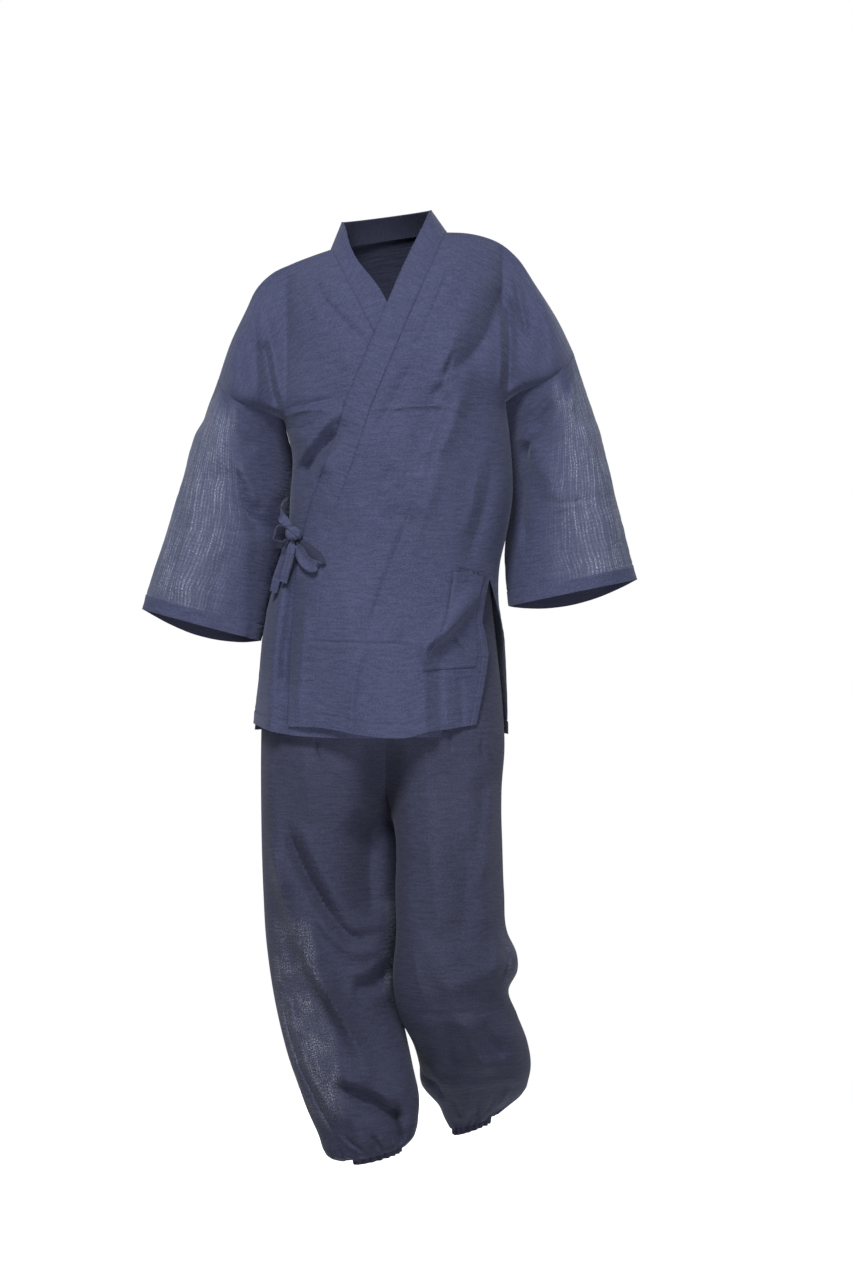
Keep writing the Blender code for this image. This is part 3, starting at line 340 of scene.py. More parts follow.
def addStitches():
    # All the bars as one mesh: eight corners and six faces each
    bars = np.concatenate(stitches)
    first = 8 * np.arange(len(bars))[:, None, None]
    sides = ((0, 1, 2, 3), (7, 6, 5, 4), (0, 4, 5, 1), (1, 5, 6, 2), (2, 6, 7, 3), (3, 7, 4, 0))
    faces = (first + np.array(sides)[None]).reshape(-1, 4)
    points = bars.reshape(-1, 3) * mm
    return addMesh("jacket_stitches", points, faces, cotton["jacket"], points[faces.ravel()][:, [0, 2]])


def stack(x, y, z):
    # Three arrays of one grid as its points
    return np.stack(np.broadcast_arrays(x, y, z), axis=-1)


def normalsOf(points, closed=False):
    # Unit normals of a grid, rows downwards and columns to the left seen from outside
    down = np.gradient(points, axis=0, edge_order=2 if len(points) > 2 else 1)
    if closed:
        across = (np.roll(points, -1, axis=1) - np.roll(points, 1, axis=1)) / 2
    else:
        across = np.gradient(points, axis=1, edge_order=2 if points.shape[1] > 2 else 1)
    return unit(np.cross(down, across))


def clothPlace(points, closed):
    # How far each grid point lies along the cloth, across and down, in metres
    if closed:
        points = np.concatenate((points, points[:, :1]), axis=1)
    across = summed(np.linalg.norm(np.diff(points, axis=1), axis=2).mean(axis=0))
    down = summed(np.linalg.norm(np.diff(points, axis=0), axis=2).mean(axis=1))
    return np.stack(np.broadcast_arrays(across[None, :], -down[:, None]), axis=-1) * mm


def shell(node, outer, thickness, material, closed=False, outward=1, butted=None, marks=None):
    # A closed wall of cloth: the outer grid, the same grid moved in by the thickness, and rims between. The UV
    # map has the distances along the cloth in metres, and each mark is an attribute of the grid. Where the wall
    # is butted against another, it is moved in level. The piece is named after the node that it stands for.
    normal = normalsOf(outer, closed)
    if butted is not None:
        normal[butted, 1] = 0
        normal = unit(normal)
    inner = outer - outward * normal * thickness
    rows, columns = outer.shape[:2]
    points = np.concatenate((outer.reshape(-1, 3), inner.reshape(-1, 3))) * mm
    vertex = np.arange(rows * columns).reshape(rows, columns)
    place = clothPlace(outer, closed)
    spot = np.arange(place.shape[0] * place.shape[1]).reshape(place.shape[:2])
    if closed:
        vertex = np.concatenate((vertex, vertex[:, :1]), axis=1)
    far = vertex + rows * columns

    def quads(a, b, c, d):
        return np.stack((a.ravel(), b.ravel(), c.ravel(), d.ravel()), axis=1)

    def around(near, away):
        faces = [
            quads(near[:-1, :-1], near[1:, :-1], near[1:, 1:], near[:-1, 1:]),
            quads(away[:-1, :-1], away[:-1, 1:], away[1:, 1:], away[1:, :-1]),
            quads(near[0, :-1], near[0, 1:], away[0, 1:], away[0, :-1]),
            quads(near[-1, :-1], away[-1, :-1], away[-1, 1:], near[-1, 1:]),
        ]
        if not closed:
            faces.append(quads(near[:-1, 0], away[:-1, 0], away[1:, 0], near[1:, 0]))
            faces.append(quads(near[:-1, -1], near[1:, -1], away[1:, -1], away[:-1, -1]))
        faces = np.concatenate(faces)
        return faces[:, ::-1] if outward < 0 else faces

    marks = {mark: np.tile(values.ravel(), 2) for mark, values in (marks or {}).items()}
    # marks the inner wall, which the material darkens with painted shade
    marks["inside"] = np.repeat((0.0, 1.0), rows * columns)
    faces, corners = around(vertex, far), around(spot, spot)
    return addMesh(node + "_cloth", points, faces, material, place.reshape(-1, 2)[corners.ravel()], marks)


def placed(mesh, material):
    # The mesh as an object of the scene
    mesh.materials.append(material)
    made = bpy.data.objects.new(mesh.name, mesh)
    bpy.context.scene.collection.objects.link(made)
    return made


def addMesh(name, points, faces, material, uv, marks=None):
    # Puts the arrays into a new mesh, shaded smooth but for its sharp edges
    mesh = bpy.data.meshes.new(name)
    mesh.vertices.add(len(points))
    mesh.vertices.foreach_set("co", points.astype(np.float32).ravel())
    mesh.loops.add(faces.size)
    mesh.loops.foreach_set("vertex_index", faces.astype(np.int32).ravel())
    mesh.polygons.add(len(faces))
    mesh.polygons.foreach_set("loop_start", np.arange(0, faces.size, faces.shape[1], dtype=np.int32))
    mesh.update(calc_edges=True)
    mesh.validate()
    mesh.uv_layers.new(name="cloth").data.foreach_set("uv", uv.astype(np.float32).ravel())
    for mark, values in (marks or {}).items():
        layer = mesh.attributes.new(mark, "FLOAT", "POINT")
        layer.data.foreach_set("value", values.astype(np.float32))
    mesh.shade_smooth()
    mesh.set_sharp_from_angle(angle=np.radians(50))
    return placed(mesh, material)


cottons = {
    "jacket": {
        "slot": "jacket_cloth",
        "deep": (0.0235, 0.0275, 0.061, 1),
        "plain": (0.039, 0.044, 0.093, 1),
        "slub": (0.070, 0.078, 0.138, 1),
        # the next two colours are painted light that shows through the thin cloth: a pale lift and pale glints
        "paintedLightThrough": (0.20, 0.22, 0.29, 1),
        "paintedGlint": (0.30, 0.33, 0.40, 1),
        "inner": (0.011, 0.012, 0.024, 1),  # painted shade on the cloth's inner face, in the hollow of the garment
        "paintedShadeShare": 0.7,
        # how much of that painted light shows, as a lift and as glints
        "paintedLightLift": 0.17,
        "paintedGlints": 0.6,
        "between": 0.15,
        "patchy": (0.42, 0.60),
        "sheen": 0.11,
    },
    "trouser": {
        "slot": "trouser_cloth",
        # these colours are darker than the jacket's as painted shade for the lower light on the legs
        "deep": (0.0165, 0.0185, 0.038, 1),
        "plain": (0.0275, 0.0300, 0.060, 1),
        "slub": (0.049, 0.053, 0.093, 1),
        # the next two colours are painted light that shows through the thin cloth: a pale lift and pale glints
        "paintedLightThrough": (0.10, 0.11, 0.15, 1),
        "paintedGlint": (0.26, 0.28, 0.33, 1),
        # painted shade on the cloth's inner face, in the hollow of the garment
        "inner": (0.009, 0.010, 0.019, 1),
        "paintedShadeShare": 0.7,
        # how much of that painted light shows, as a lift and as glints
        "paintedLightLift": 0.0,
        "paintedGlints": 0.5,
        "between": 0.65,
        "patchy": (0.46, 0.60),
        "sheen": 0.05,
    },
}
weave = {  # each noise's waves in a metre across and down, and its detail
    "crinkle": ((48, 210), 3.0),
    "grain": ((330, 420), 1.0),
    "slubs": ((900, 70), 2.0),
    "weft": ((60, 1100), 2.0),
    "cloudy": ((9, 7), 3.0),
    "broken": ((170, 16), 2.0),  # breaks in the sheer columns
    "specks": ((700, 420), 1.0),
    "patches": ((26, 17), 3.0),
    "columnWidth": 0.0046,
    "columnWave": 9.0,
    "threads": 0.14,  # the fine relief's share of the crinkle's
    "bump": (0.8, 0.0018),
}
tones = (  # noise, where its tone starts and is full, how much of it shows, and the colour mixed in
    ("crinkle", 0.32, 0.68, 1.0, "plain"),
    ("grain", 0.44, 0.7, 0.3, "slub"),
    ("grain", 0.54, 0.3, 0.55, "deep"),
    ("slubs", 0.56, 0.78, 0.5, "slub"),
    ("weft", 0.6, 0.8, 0.32, "slub"),
    ("cloudy", 0.4, 0.75, 0.12, "slub"),
)
finish = {
    "Roughness": 0.88,
    "Specular IOR Level": 0.22,
    "Sheen Roughness": 0.45,
    "Sheen Tint": (0.70, 0.77, 1.0, 1),
}


def makeCotton(name):
    # Crinkled cotton: horizontal crinkles and upright slubs, with painted light as pale specks and streaks
    # where the cloth is sheer, and painted shade on its inner walls
    cotton = cottons[name]
    material = bpy.data.materials.new(name + "Cotton")
    material.use_nodes = True
    tree = material.node_tree
    surface = tree.nodes["Principled BSDF"]

    def node(kind, **values):
        made = tree.nodes.new("ShaderNode" + kind)
        for key, value in values.items():
            setattr(made, key, value)
        return made

    def feed(sockets, values):
        for socket, value in zip(sockets, values):
            if isinstance(value, (float, tuple)):
                socket.default_value = value
            else:
                tree.links.new(value, socket)

    def named(made, **values):
        for key, value in values.items():
            made.inputs[key.replace("_", " ")].default_value = value
        return made

    def noise(kind):
        scale, detail = weave[kind]
        mapping = named(node("Mapping"), Scale=(*scale, 1))
        made = named(node("TexNoise"), Scale=1, Detail=detail, Roughness=0.55)
        tree.links.new(place.outputs["UV"], mapping.inputs["Vector"])
        tree.links.new(mapping.outputs["Vector"], made.inputs["Vector"])
        return made.outputs["Fac"]

    def ramp(source, low, high, toLow=0.0, toHigh=1.0):
        made = named(node("MapRange"), From_Min=low, From_Max=high, To_Min=toLow, To_Max=toHigh)
        tree.links.new(source, made.inputs["Value"])
        return made.outputs["Result"]

    def math(operation, a, b):
        made = node("Math", operation=operation)
        feed(made.inputs, (a, b))
        return made.outputs[0]

    def mixed(factor, first, second):
        made = node("Mix", data_type="RGBA")
        feed((made.inputs["Factor"], made.inputs[6], made.inputs[7]), (factor, first, second))
        return made.outputs[2]

    def mark(attribute):
        return node("Attribute", attribute_name=attribute).outputs["Fac"]

    place = node("UVMap", uv_map="cloth")
    noises = {kind: noise(kind) for kind in ("crinkle", "grain", "slubs", "weft", "cloudy")}
    colour = cotton["deep"]
    for kind, low, high, most, tone in tones:
        colour = mixed(ramp(noises[kind], low, high, 0.0, most), colour, cotton[tone])

    # Two layers of painted light where the cloth is sheer: wavy upright columns of fine specks, in patches
    waves = named(
        node("TexWave", bands_direction="X"),
        Scale=0.314 / weave["columnWidth"],
        Distortion=weave["columnWave"],
        Detail=1.0,
        Detail_Scale=0.25,
    )
    tree.links.new(place.outputs["UV"], waves.inputs["Vector"])
    columns = ramp(waves.outputs["Fac"], 0.2, 0.9, cotton["between"], 1.0)
    columns = math("MULTIPLY", columns, ramp(noise("broken"), 0.40, 0.58, cotton["between"], 1.0))
    specks = math("MULTIPLY", columns, ramp(noise("specks"), 0.47, 0.66, 0.0, 1.6))
    patches = ramp(noise("patches"), *cotton["patchy"], 0.3, 1.0)
    specks = math("MULTIPLY", math("MULTIPLY", specks, patches), cotton["paintedGlints"])
    lift = math("MULTIPLY", ramp(columns, 0.0, 1.0, 0.55, 1.25), cotton["paintedLightLift"])
    # painted light through the sheer cloth: a pale lift in columns, then pale glints
    sheer = mark("sheer")
    colour = mixed(math("MULTIPLY", sheer, lift), colour, cotton["paintedLightThrough"])
    colour = mixed(math("MULTIPLY", sheer, specks), colour, cotton["paintedGlint"])
    # painted shade: the inner walls are darkened towards the inner colour
    colour = mixed(math("MULTIPLY", mark("inside"), cotton["paintedShadeShare"]), colour, cotton["inner"])
    tree.links.new(colour, surface.inputs["Base Color"])

    strength, distance = weave["bump"]
    bump = named(node("Bump"), Strength=strength, Distance=distance)
    threads = math("ADD", math("ADD", noises["slubs"], noises["weft"]), noises["grain"])
    relief = math("ADD", noises["crinkle"], math("MULTIPLY", threads, weave["threads"]))
    tree.links.new(relief, bump.inputs["Height"])
    tree.links.new(bump.outputs["Normal"], surface.inputs["Normal"])
    for socket, value in {**finish, "Sheen Weight": cotton["sheen"]}.items():
        surface.inputs[socket].default_value = value
    return material


cotton = {name: makeCotton(name) for name in cottons}
print("materials:", ", ".join(cotton))

# A drop is a distance below the base of the neck, and the garment's own right is at -x

jacket = {
    "cloth": 1.3,
    "wrap": 7.0,  # how far the over front stands out
    "wrapDrops": (10, 75),
    "wrapSides": (92, 50),
    "closer": 3.0,  # how much less it does beside its band
    "closerReach": 70,
    "sink": 4.0,  # how far the under front lies beneath it
    "sinkSides": (4, 40),
    "sinkDrops": (140, 100),
    "armpit": 260.0,  # the drop of the first whole ring
    "slit": 511.0,  # where the side slits begin
    "hem": 744.0,
    "hemCurve": (560, 184),  # where the rows begin to follow the hem's line, and over what length
    "tilt": 0.085,  # slope of the rings near the armpits, about this x and gone by this drop
    "tiltAbout": 20,
    "tiltGone": 400.0,
    "fullness": 0.8,  # power of the rings' sine: 1 is an ellipse, and less is squarer
    "ringReach": 0.97,
    "backRing": (14, 166),  # middle and half of the ring that spaces the back's columns
    "rowStep": 3.1,
    "shoulderRows": 84,
    "columnStep": {"right": 1 / 66, "left": 1 / 112, "shoulder": 1 / 50},
    "closeColumns": {"right": 0.955, "left": 0.972},  # at the slit's hem
    "neckColumns": 52,
}
bodyTable = {
    "columns": ("drop", "right", "left", "front", "back"),
    "rows": (
        (260, -152, 179, -126, 108),
        (320, -140, 187, -131, 112),
        (385, -143, 190, -131, 104),
        (445, -147, 181, -128, 96),
        (490, -156, 171, -129, 98),
        (540, -173, 169, -133, 108),
        (600, -184, 177, -139, 118),
        (670, -190, 181, -144, 126),
        (750, -198, 183, -148, 131),
    ),
}
shoulderLine = {
    "right": ((-83, 18), (-112, 28), (-140, 39), (-171, 54), (-194, 77), (-209, 108), (-232, 157), (-250, 210)),
    "left": ((92, -8), (118, -7), (141, -3), (172, 9), (195, 28), (224, 70), (261, 130), (280, 170)),
}
frontSeam = {
    "right": ((260, 36), (350, 44), (450, 46), (560, 46), (660, 46), (744, 46)),
    "left": ((260, -20), (345, -48), (420, -74), (475, -88), (560, -97), (660, -102), (744, -104)),
}
hemLine = {
    "right": ((-198, 727), (-172, 736), (-143, 742), (-100, 745), (-60, 746), (100, 744)),
    "left": ((-140, 727), (-86, 732), (-38, 741), (11, 746), (35, 745), (57, 738), (96, 733), (135, 727)),
    "back": ((-200, 738), (0, 744), (185, 744)),
}
sideSeam = {  # degrees round the body from the left side
    "left_front": ((260, 0), (320, 0), (420, 10), (511, 24), (575, 34), (630, 31), (744, 42)),
    "left_back": ((260, 0), (320, 0), (420, 10), (511, 24), (573, 6), (640, 0), (744, 0)),
    "right_front": ((260, 0), (511, 0), (600, 2), (744, 3)),
    "right_back": ((260, 0), (511, 0), (600, 3), (744, 5)),
}
frontFolds = (  # x1, drop1, x2, drop2, width, height
    (140, 78, 82, 228, 20, 8), (118, 215, 48, 400, 20, 8), (76, 240, 22, 420, 15, -6),
    (-66, 292, -132, 362, 13, -10), (-128, 300, -90, 345, 16, 7), (-152, 520, -172, 740, 12, 13),
    (-50, 560, -52, 730, 15, 5), (148, 516, 62, 612, 12, 9), (60, 612, 60, 740, 16, 6),
    (-70, 215, -84, 235, 18, -4),
)
frontCreases = (  # width, height, lean, and then the line's points x, drop
    (6, -6.4, -0.4, -88, 36, -101, 62, -92, 95, -58, 136, -22, 172), (7, 3.9, 0, -112, 60, -106, 100, -92, 140),
    (2.8, -5, 0.3, -152, 262, -112, 253, -84, 249, -50, 238), (3.2, 4.6, 0, -152, 272, -114, 265, -72, 267),
    (3, -4.6, 0, -150, 287, -128, 290, -106, 286), (7, 8, -0.4, -130, 349, -110, 312, -84, 282, -60, 262),
    (9, -13, 0.2, -126, 364, -100, 330, -68, 292), (8, 6, 0.3, -122, 380, -92, 350, -58, 306),
    (5, 4.5, 0.4, -180, 100, -168, 176, -152, 266), (10, -16, -0.3, -183, 150, -172, 214, -160, 268),
    (7, 7.9, 0, -206, 84, -194, 150, -187, 256),
    (12, -8.8, 0.3, 184, 58, 166, 104, 147, 156, 112, 200, 76, 230), (8, 5.6, 0, 108, 140, 96, 178, 78, 214),
    (8, -7, -0.3, 44, 190, 20, 240, -16, 304), (6, -6.5, 0, 101, 177, 88, 218, 68, 253),
    (8, -6.6, 0.4, 98, 233, 74, 290, 47, 372), (10, 4.6, 0, 118, 226, 100, 290, 70, 350),
    (3, 3, 0, -22, 265, 40, 263, 92, 262, 128, 278, 162, 297),
    (3, -1.6, 0, -20, 270, 40, 268, 90, 268, 126, 284), (2.6, -2.8, 0, 116, 305, 136, 309, 158, 311),
    (3.4, 4.9, 0.4, 74, 232, 90, 221, 112, 214), (2.4, -1.8, 0, 27, 298, 23, 310, 22, 321),
    (8, -6, 0.5, 70, 326, 54, 372, 35, 424, 18, 470, 0, 518, -16, 566, -31, 618),
    (13, 3.6, 0, 88, 330, 66, 400, 40, 470, 16, 540),
    (2.8, -1.9, 0, -138, 602, -84, 606, -30, 608, 14, 609, 60, 616), (2.8, 1.6, 0, -120, 609, -60, 612, 0, 614),
    (5, 4, 0.2, -28, 610, -42, 652, -48, 700, -48, 744), (7, -4, 0, 12, 344, -4, 386, -20, 430),
    (6, 3.4, 0, -34, 396, -46, 430, -60, 466), (12, -6, 0.2, 158, 322, 150, 390, 132, 452, 118, 500),
    (10, 4, 0, 138, 350, 130, 400, 114, 452), (2.6, -4.3, 0, 102, 584, 105, 604, 112, 614, 122, 623),
    (2.4, 2.2, 0, 53, 618, 55, 634, 57, 650), (7, -4.5, 0, 64, 626, 66, 680, 68, 744),
    (8, 4.4, 0, 86, 640, 90, 690, 92, 744), (6, -4.5, 0, 108, 648, 113, 700, 114, 744),
    (7, 10, -0.6, 153, 517, 128, 552, 104, 582, 66, 614),
    (2.4, 2.8, -0.4, 156, 512, 130, 546, 105, 576, 70, 606),
    (1.8, -3, 0, 96, 496, 110, 499, 126, 504, 158, 515), (1.7, -2.6, 0, 101, 494, 97, 530, 91, 566, 80, 604),
    (14, -20, 0.2, -126, 500, -134, 548, -146, 622, -152, 700), (2.6, -9.6, 0, -138, 480, -143, 500, -151, 524),
    (3, 5.3, 0, -133, 484, -137, 505, -146, 534), (6, 5.3, 0.3, -116, 520, -119, 580, -124, 660, -128, 740),
    (10, -22, 0, 183, 84, 185, 164, 182, 246), (3, -2.9, 0, 100, 46, 78, 98, 63, 134, 43, 182),
    (6, 8.8, 0.2, 170, 100, 173, 164, 170, 240), (5, 8.8, 0.2, 190, 40, 198, 92, 212, 160),
)
backFolds = (
    (-110, 430, -130, 735, 20, 9), (-40, 450, -52, 735, 18, 8), (44, 440, 50, 735, 20, 9),
    (120, 470, 136, 735, 18, 8), (-96, 300, -30, 420, 24, 7), (110, 290, 40, 410, 24, 7),
)
backCreases = (
    (2.8, 2.8, 0, -150, 262, -90, 268, -20, 266, 60, 262, 150, 270),
    (2.6, -2.2, 0, -146, 268, -80, 274, 0, 272, 90, 268),
    (2.6, -2.8, 0, -170, 604, -90, 608, -10, 606, 80, 610, 168, 606),
    (2.6, 1.5, 0, -160, 611, -60, 614, 60, 615), (9, -6.2, 0.3, -130, 180, -104, 240, -62, 300, -30, 372),
    (9, -6.2, -0.3, 150, 150, 124, 216, 84, 286, 44, 352), (8, 3.8, 0, -60, 60, -50, 120, -46, 190),
    (8, 3.8, 0, 78, 44, 70, 110, 60, 186), (6, -7.5, 0, -144, 300, -118, 330, -84, 352),
    (6, -7.5, 0, 168, 290, 130, 322, 92, 340), (8, -7.5, 0.3, -112, 420, -104, 500, -116, 600, -122, 740),
    (7, -5.6, 0, -74, 440, -76, 540, -84, 740), (9, -5.6, 0, -10, 400, -6, 500, -2, 620, 0, 742),
    (6, 3.8, 0, 24, 470, 22, 560, 24, 742), (8, -7.5, -0.3, 78, 430, 88, 540, 90, 742),
    (6, 4.4, 0, 110, 470, 122, 580, 128, 742), (7, -3.8, 0, -20, 240, 4, 300, 10, 380),
    (7, -10, 0, -178, 100, -168, 176, -156, 262), (7, -11.2, 0, 190, 90, 192, 164, 186, 240),
)
valley = {  # between the jacket's body and each sleeve
    "right": {"start": 0.60, "shift": 0.24, "width": 0.13, "front": 20, "back": 15},
    "left": {"start": 0.58, "shift": 0.27, "width": 0.13, "front": 26, "back": 15},
}
skirtBack = {  # the skirt beside the pocket is drawn back, right of this line of drop, x
    "line": ((511, 153), (615, 58), (744, 60)),
    "depth": 14,
    "drops": (505, 60),
    "run": 24,
}
armhole = {"chest": 0.16, "arm": (0.35, 0.65), "hollow": (0.12, 0.5)}  # where each part of its shape comes in


def bodyAt(name, drop):
    # The body's table, held at its top row above the armpit
    return column(bodyTable, name, np.maximum(drop, jacket["armpit"]))


def rowHeight(x, drop):
    # Height of a point of the row at this drop, which tilts with the shoulders near the armpits
    fade = falling(drop, jacket["armpit"], jacket["tiltGone"] - jacket["armpit"])
    return -drop + jacket["tilt"] * (x - jacket["tiltAbout"]) * fade


def ringMiddle(drop):
    # The middle and half the width of the ring at this drop
    left, right = bodyAt("left", drop), bodyAt("right", drop)
    return (left + right) / 2, (left - right) / 2


def ringFront(x, drop):
    # The ring at this drop: front times (1 - across squared) to half the fullness
    middle, half = ringMiddle(drop)
    across = np.clip((x - middle) / half, -jacket["ringReach"], jacket["ringReach"])
    return bodyAt("front", drop) * (1 - across**2) ** (jacket["fullness"] / 2)


def roundAt(angle):
    # How deep the ring is at this angle, as a share of its depth
    return np.abs(np.sin(angle)) ** jacket["fullness"]


def torsoFront(x, z):
    # y of the body's front at x and z: a quarter ellipse over the chest, then rings
    top = -pairs(sorted((*shoulderLine["right"], *shoulderLine["left"])), x)
    armpit = rowHeight(x, jacket["armpit"])
    down = np.clip((top - z) / (top - armpit), 0, 1)
    chest = ringFront(x, jacket["armpit"]) * np.sqrt(1 - (1 - down) ** 2)
    drop = -z
    for _ in range(4):
        drop = -z + rowHeight(x, drop) + drop
    return np.where(z > armpit, chest, ringFront(x, np.maximum(drop, jacket["armpit"])))


def drape(x, z):
    # How far the front's folds stand out, with the skirt beside the pocket drawn back
    out = foldsAt(frontFolds, x, -z) + creasesAt(frontCreases, x, -z) + puckers(x, z, 3)
    line = pairs(skirtBack["line"], -z, np.interp)
    return out - skirtBack["depth"] * rising(-z, *skirtBack["drops"]) * rising(x, line, skirtBack["run"])


def layerOut(x, z, over):
    # How far a front stands out: the over one by the wrap, the under one sunk beneath it
    free = x - pairs(((-8, 92), (126, 36), *frontSeam["left"]), -z) + collarShape["width"]
    if over:
        wrap = jacket["wrap"] - jacket["closer"] * falling(free, 0, jacket["closerReach"])
        return wrap * rising(-z, *jacket["wrapDrops"]) * falling(x, *jacket["wrapSides"])
    return -jacket["sink"] * rising(free, *jacket["sinkSides"]) * rising(-z, *jacket["sinkDrops"])


def frontSurface(x, z, over):
    # The body's front with its folds and its layer
    return stack(x, torsoFront(x, z) - drape(x, z) - layerOut(x, z, over), z)


def shoulderPoint(side, u):
    # x and z of the shoulder line, u from the collar to the sleeve seam by its length
    line = np.array(shoulderLine[side], float)
    length = summed(np.hypot(*np.diff(line, axis=0).T))
    point = lineAt(u * length[-1], length, line, spline)
    return point[..., 0], -point[..., 1]


def armholeRows(side, u, d, facing, seamX):
    # x, y and z between the shoulder line and the armpit row, facing -1 in front and 1 behind: a quarter wave
    # down the chest and half a wave out to the sleeve, with a hollow between them
    topX, topZ = shoulderPoint(side, u)
    middle, half = ringMiddle(jacket["armpit"])
    start = np.arccos((seamX - middle) / half)
    angle = start + ((0.0 if side == "left" else np.pi) - start) * u
    lowX = middle + half * np.cos(angle)
    lowZ = rowHeight(lowX, jacket["armpit"])
    face = "front" if facing < 0 else "back"
    lowY = facing * abs(bodyAt(face, jacket["armpit"])) * roundAt(angle)
    eased, wave = 1 - np.cos(np.pi * d / 2), np.sin(np.pi * d)
    x = topX + (lowX - topX) * eased
    z = topZ + (lowZ - topZ) * eased
    arm = lowY * d + facing * column(sleeves[side], face, 0.0) * wave
    torso = lowY * np.sin(np.pi * d / 2)
    if facing < 0:
        torso = torso + (torsoFront(x, z) - torso) * ease(d / armhole["chest"])
    share = rising(u, *armhole["arm"])
    sag = sleeves["sag"] * (1 if facing < 0 else 0.5)
    hollow = valley[side]
    depth = hollow[face] * bell(u - hollow["start"] - hollow["shift"] * d, hollow["width"])
    depth = depth * wave * rising(d, *armhole["hollow"])
    return x, (1 - share) * torso + share * arm - facing * depth, z - share * sag * wave**2


def between(a, stops, values):
    # The values joined straight between the stops, where each value may differ from row to row
    total = values[0] + 0 * a
    for low, high, first, last in zip(stops, stops[1:], values, values[1:]):
        total = total + (last - first) * np.clip((a - low) / (high - low), 0, 1)
    return total


def softened(grid, row, spread, hold):
    # Rounds the grid off along its columns near one row, but not where hold is 0
    near = bell(np.arange(len(grid))[:, None, None] - row, 1.6 * spread) * hold[..., None]
    smooth = grid
    for _ in range(2 * spread * spread):
        middle = (smooth[:-2] + 2 * smooth[1:-1] + smooth[2:]) / 4
        smooth = np.concatenate((smooth[:1], middle, smooth[-1:]))
    return grid + (smooth - grid) * near


closeRows = (jacket["hem"] - hems["band"], 607)  # at the hem's seam and the crease above it
lowerDrops = finer(
    jacket["armpit"] + jacket["rowStep"], jacket["hem"], jacket["rowStep"], closeRows, 4
)[:, None]
shoulderShares = np.linspace(0, 1, jacket["shoulderRows"] + 1)[:, None]
pocketShape = {
    "share": (9 / 13, 12 / 13),
    "drops": (503, 650),
    "edge": ((380, 124), (503, 100), (576, 86), (650, 56), (744, 50)),
    "edgeHeld": (390, 100),
    "grid": (44, 56),
    "wall": 1.4,
    "gap": 0.3,
    "hem": 18,
    "seam": 1.8,  # how far inside its edges it is sewn on
    "mouth": 2.4,  # how far its mouth stands off
    "mouthReach": 9,
}


def lowered(z, x, drop, line):
    # The rows come down to the hem's own line
    return z - (pairs(line, x) - jacket["hem"]) * rising(drop, *jacket["hemCurve"])


def frontLower(side, u, drop):
    # A front below the armpit: rings of the body, from the collar seam to the side edge
    middle, half = ringMiddle(drop)

    def angleAt(x):
        return np.arccos(np.clip((x - middle) / half, -1, 1))

    edge = np.radians(pairs(sideSeam[side + "_front"], drop, np.interp))
    start = angleAt(pairs(frontSeam[side], drop))
    if side == "right":
        angle = start + (np.pi - edge - start) * u
    else:
        first = pocketShape["share"][0]
        even = start + (edge - start) * first
        edgeAt = angleAt(pairs(pocketShape["edge"], drop))
        held = even + (edgeAt - even) * rising(drop, *pocketShape["edgeHeld"])
        angle = between(u, (0, first, 1), (start, held, edge))
    x = middle + half * np.cos(angle)
    y = bodyAt("front", drop) * roundAt(angle)
    z = lowered(rowHeight(x, drop), x, drop, hemLine[side])
    held = np.maximum(ease((1 - u) * 4), rising(drop, jacket["slit"], 100))
    return stack(x, y - layerOut(x, z, side == "left"), z), held


def creased(points, held):
    # The panel with the front's folds, but not where held is 0
    points[..., 1] -= drape(points[..., 0], points[..., 2]) * held
    return points


def hemmed(points, outward, sides):
    # The bottom hem, and the narrow hems of the slits: each of these is given by whether it is the last column
    low = downward(points, True)
    relief = sewnDown(low, hems["band"], points[..., 0], 61)
    slit = rising(-points[..., 2], jacket["slit"], 8)
    for last in sides:
        relief = relief + sewnDown(inward(points, last), hems["slitBand"], points[..., 2], 62) * slit
    hemmedPoints = points + normalsOf(points) * outward * relief[..., None]
    sew(hemmedPoints, outward, rowAt(points, hems["band"] - hems["edge"], True), np.arange(points.shape[1]))
    for last in sides:
        below = np.arange(len(points))[(slit > 0.5).any(axis=1)]
        across = placeAt(points, hems["slitBand"] - hems["edge"], last)[below]
        sew(hemmedPoints, outward, below[:-5], across[:-5])
    return hemmedPoints


def frontPanel(side):
    # A whole front: the rows at the armhole and those of the body, softened where they meet, creased and hemmed
    u = finer(0, 1, jacket["columnStep"][side], (jacket["closeColumns"][side],), 0.03, 1.6)[None, :]
    d = shoulderShares
    x, y, z = armholeRows(side, u, d, -1, pairs(frontSeam[side], jacket["armpit"]))
    upper = stack(x, y - layerOut(x, z, side == "left"), z)
    held = ease(d * 3) * np.maximum(ease((1 - u) * 4), falling(d, 0.7, 0.28))
    lower, lowerHeld = frontLower(side, u, lowerDrops)
    panel = np.concatenate((upper, lower))
    panel = softened(panel, jacket["shoulderRows"], 5, ease((1 - u) * 5) * ease(u * 6))
    panel = creased(panel, np.concatenate((held, lowerHeld)))
    return hemmed(panel, sideSign[side], (True,))


def neckCurve(angle, right, left, depth, rise):
    # Half an ellipse round the back of the neck, from the left corner at 0 to the right one at pi
    turn = (1 - np.cos(angle)) / 2
    corner = np.array(left) + (np.array(right) - np.array(left)) * turn[:, None]
    return stack(corner[:, 0], depth * np.sin(angle), corner[:, 1] + rise * np.sin(angle))


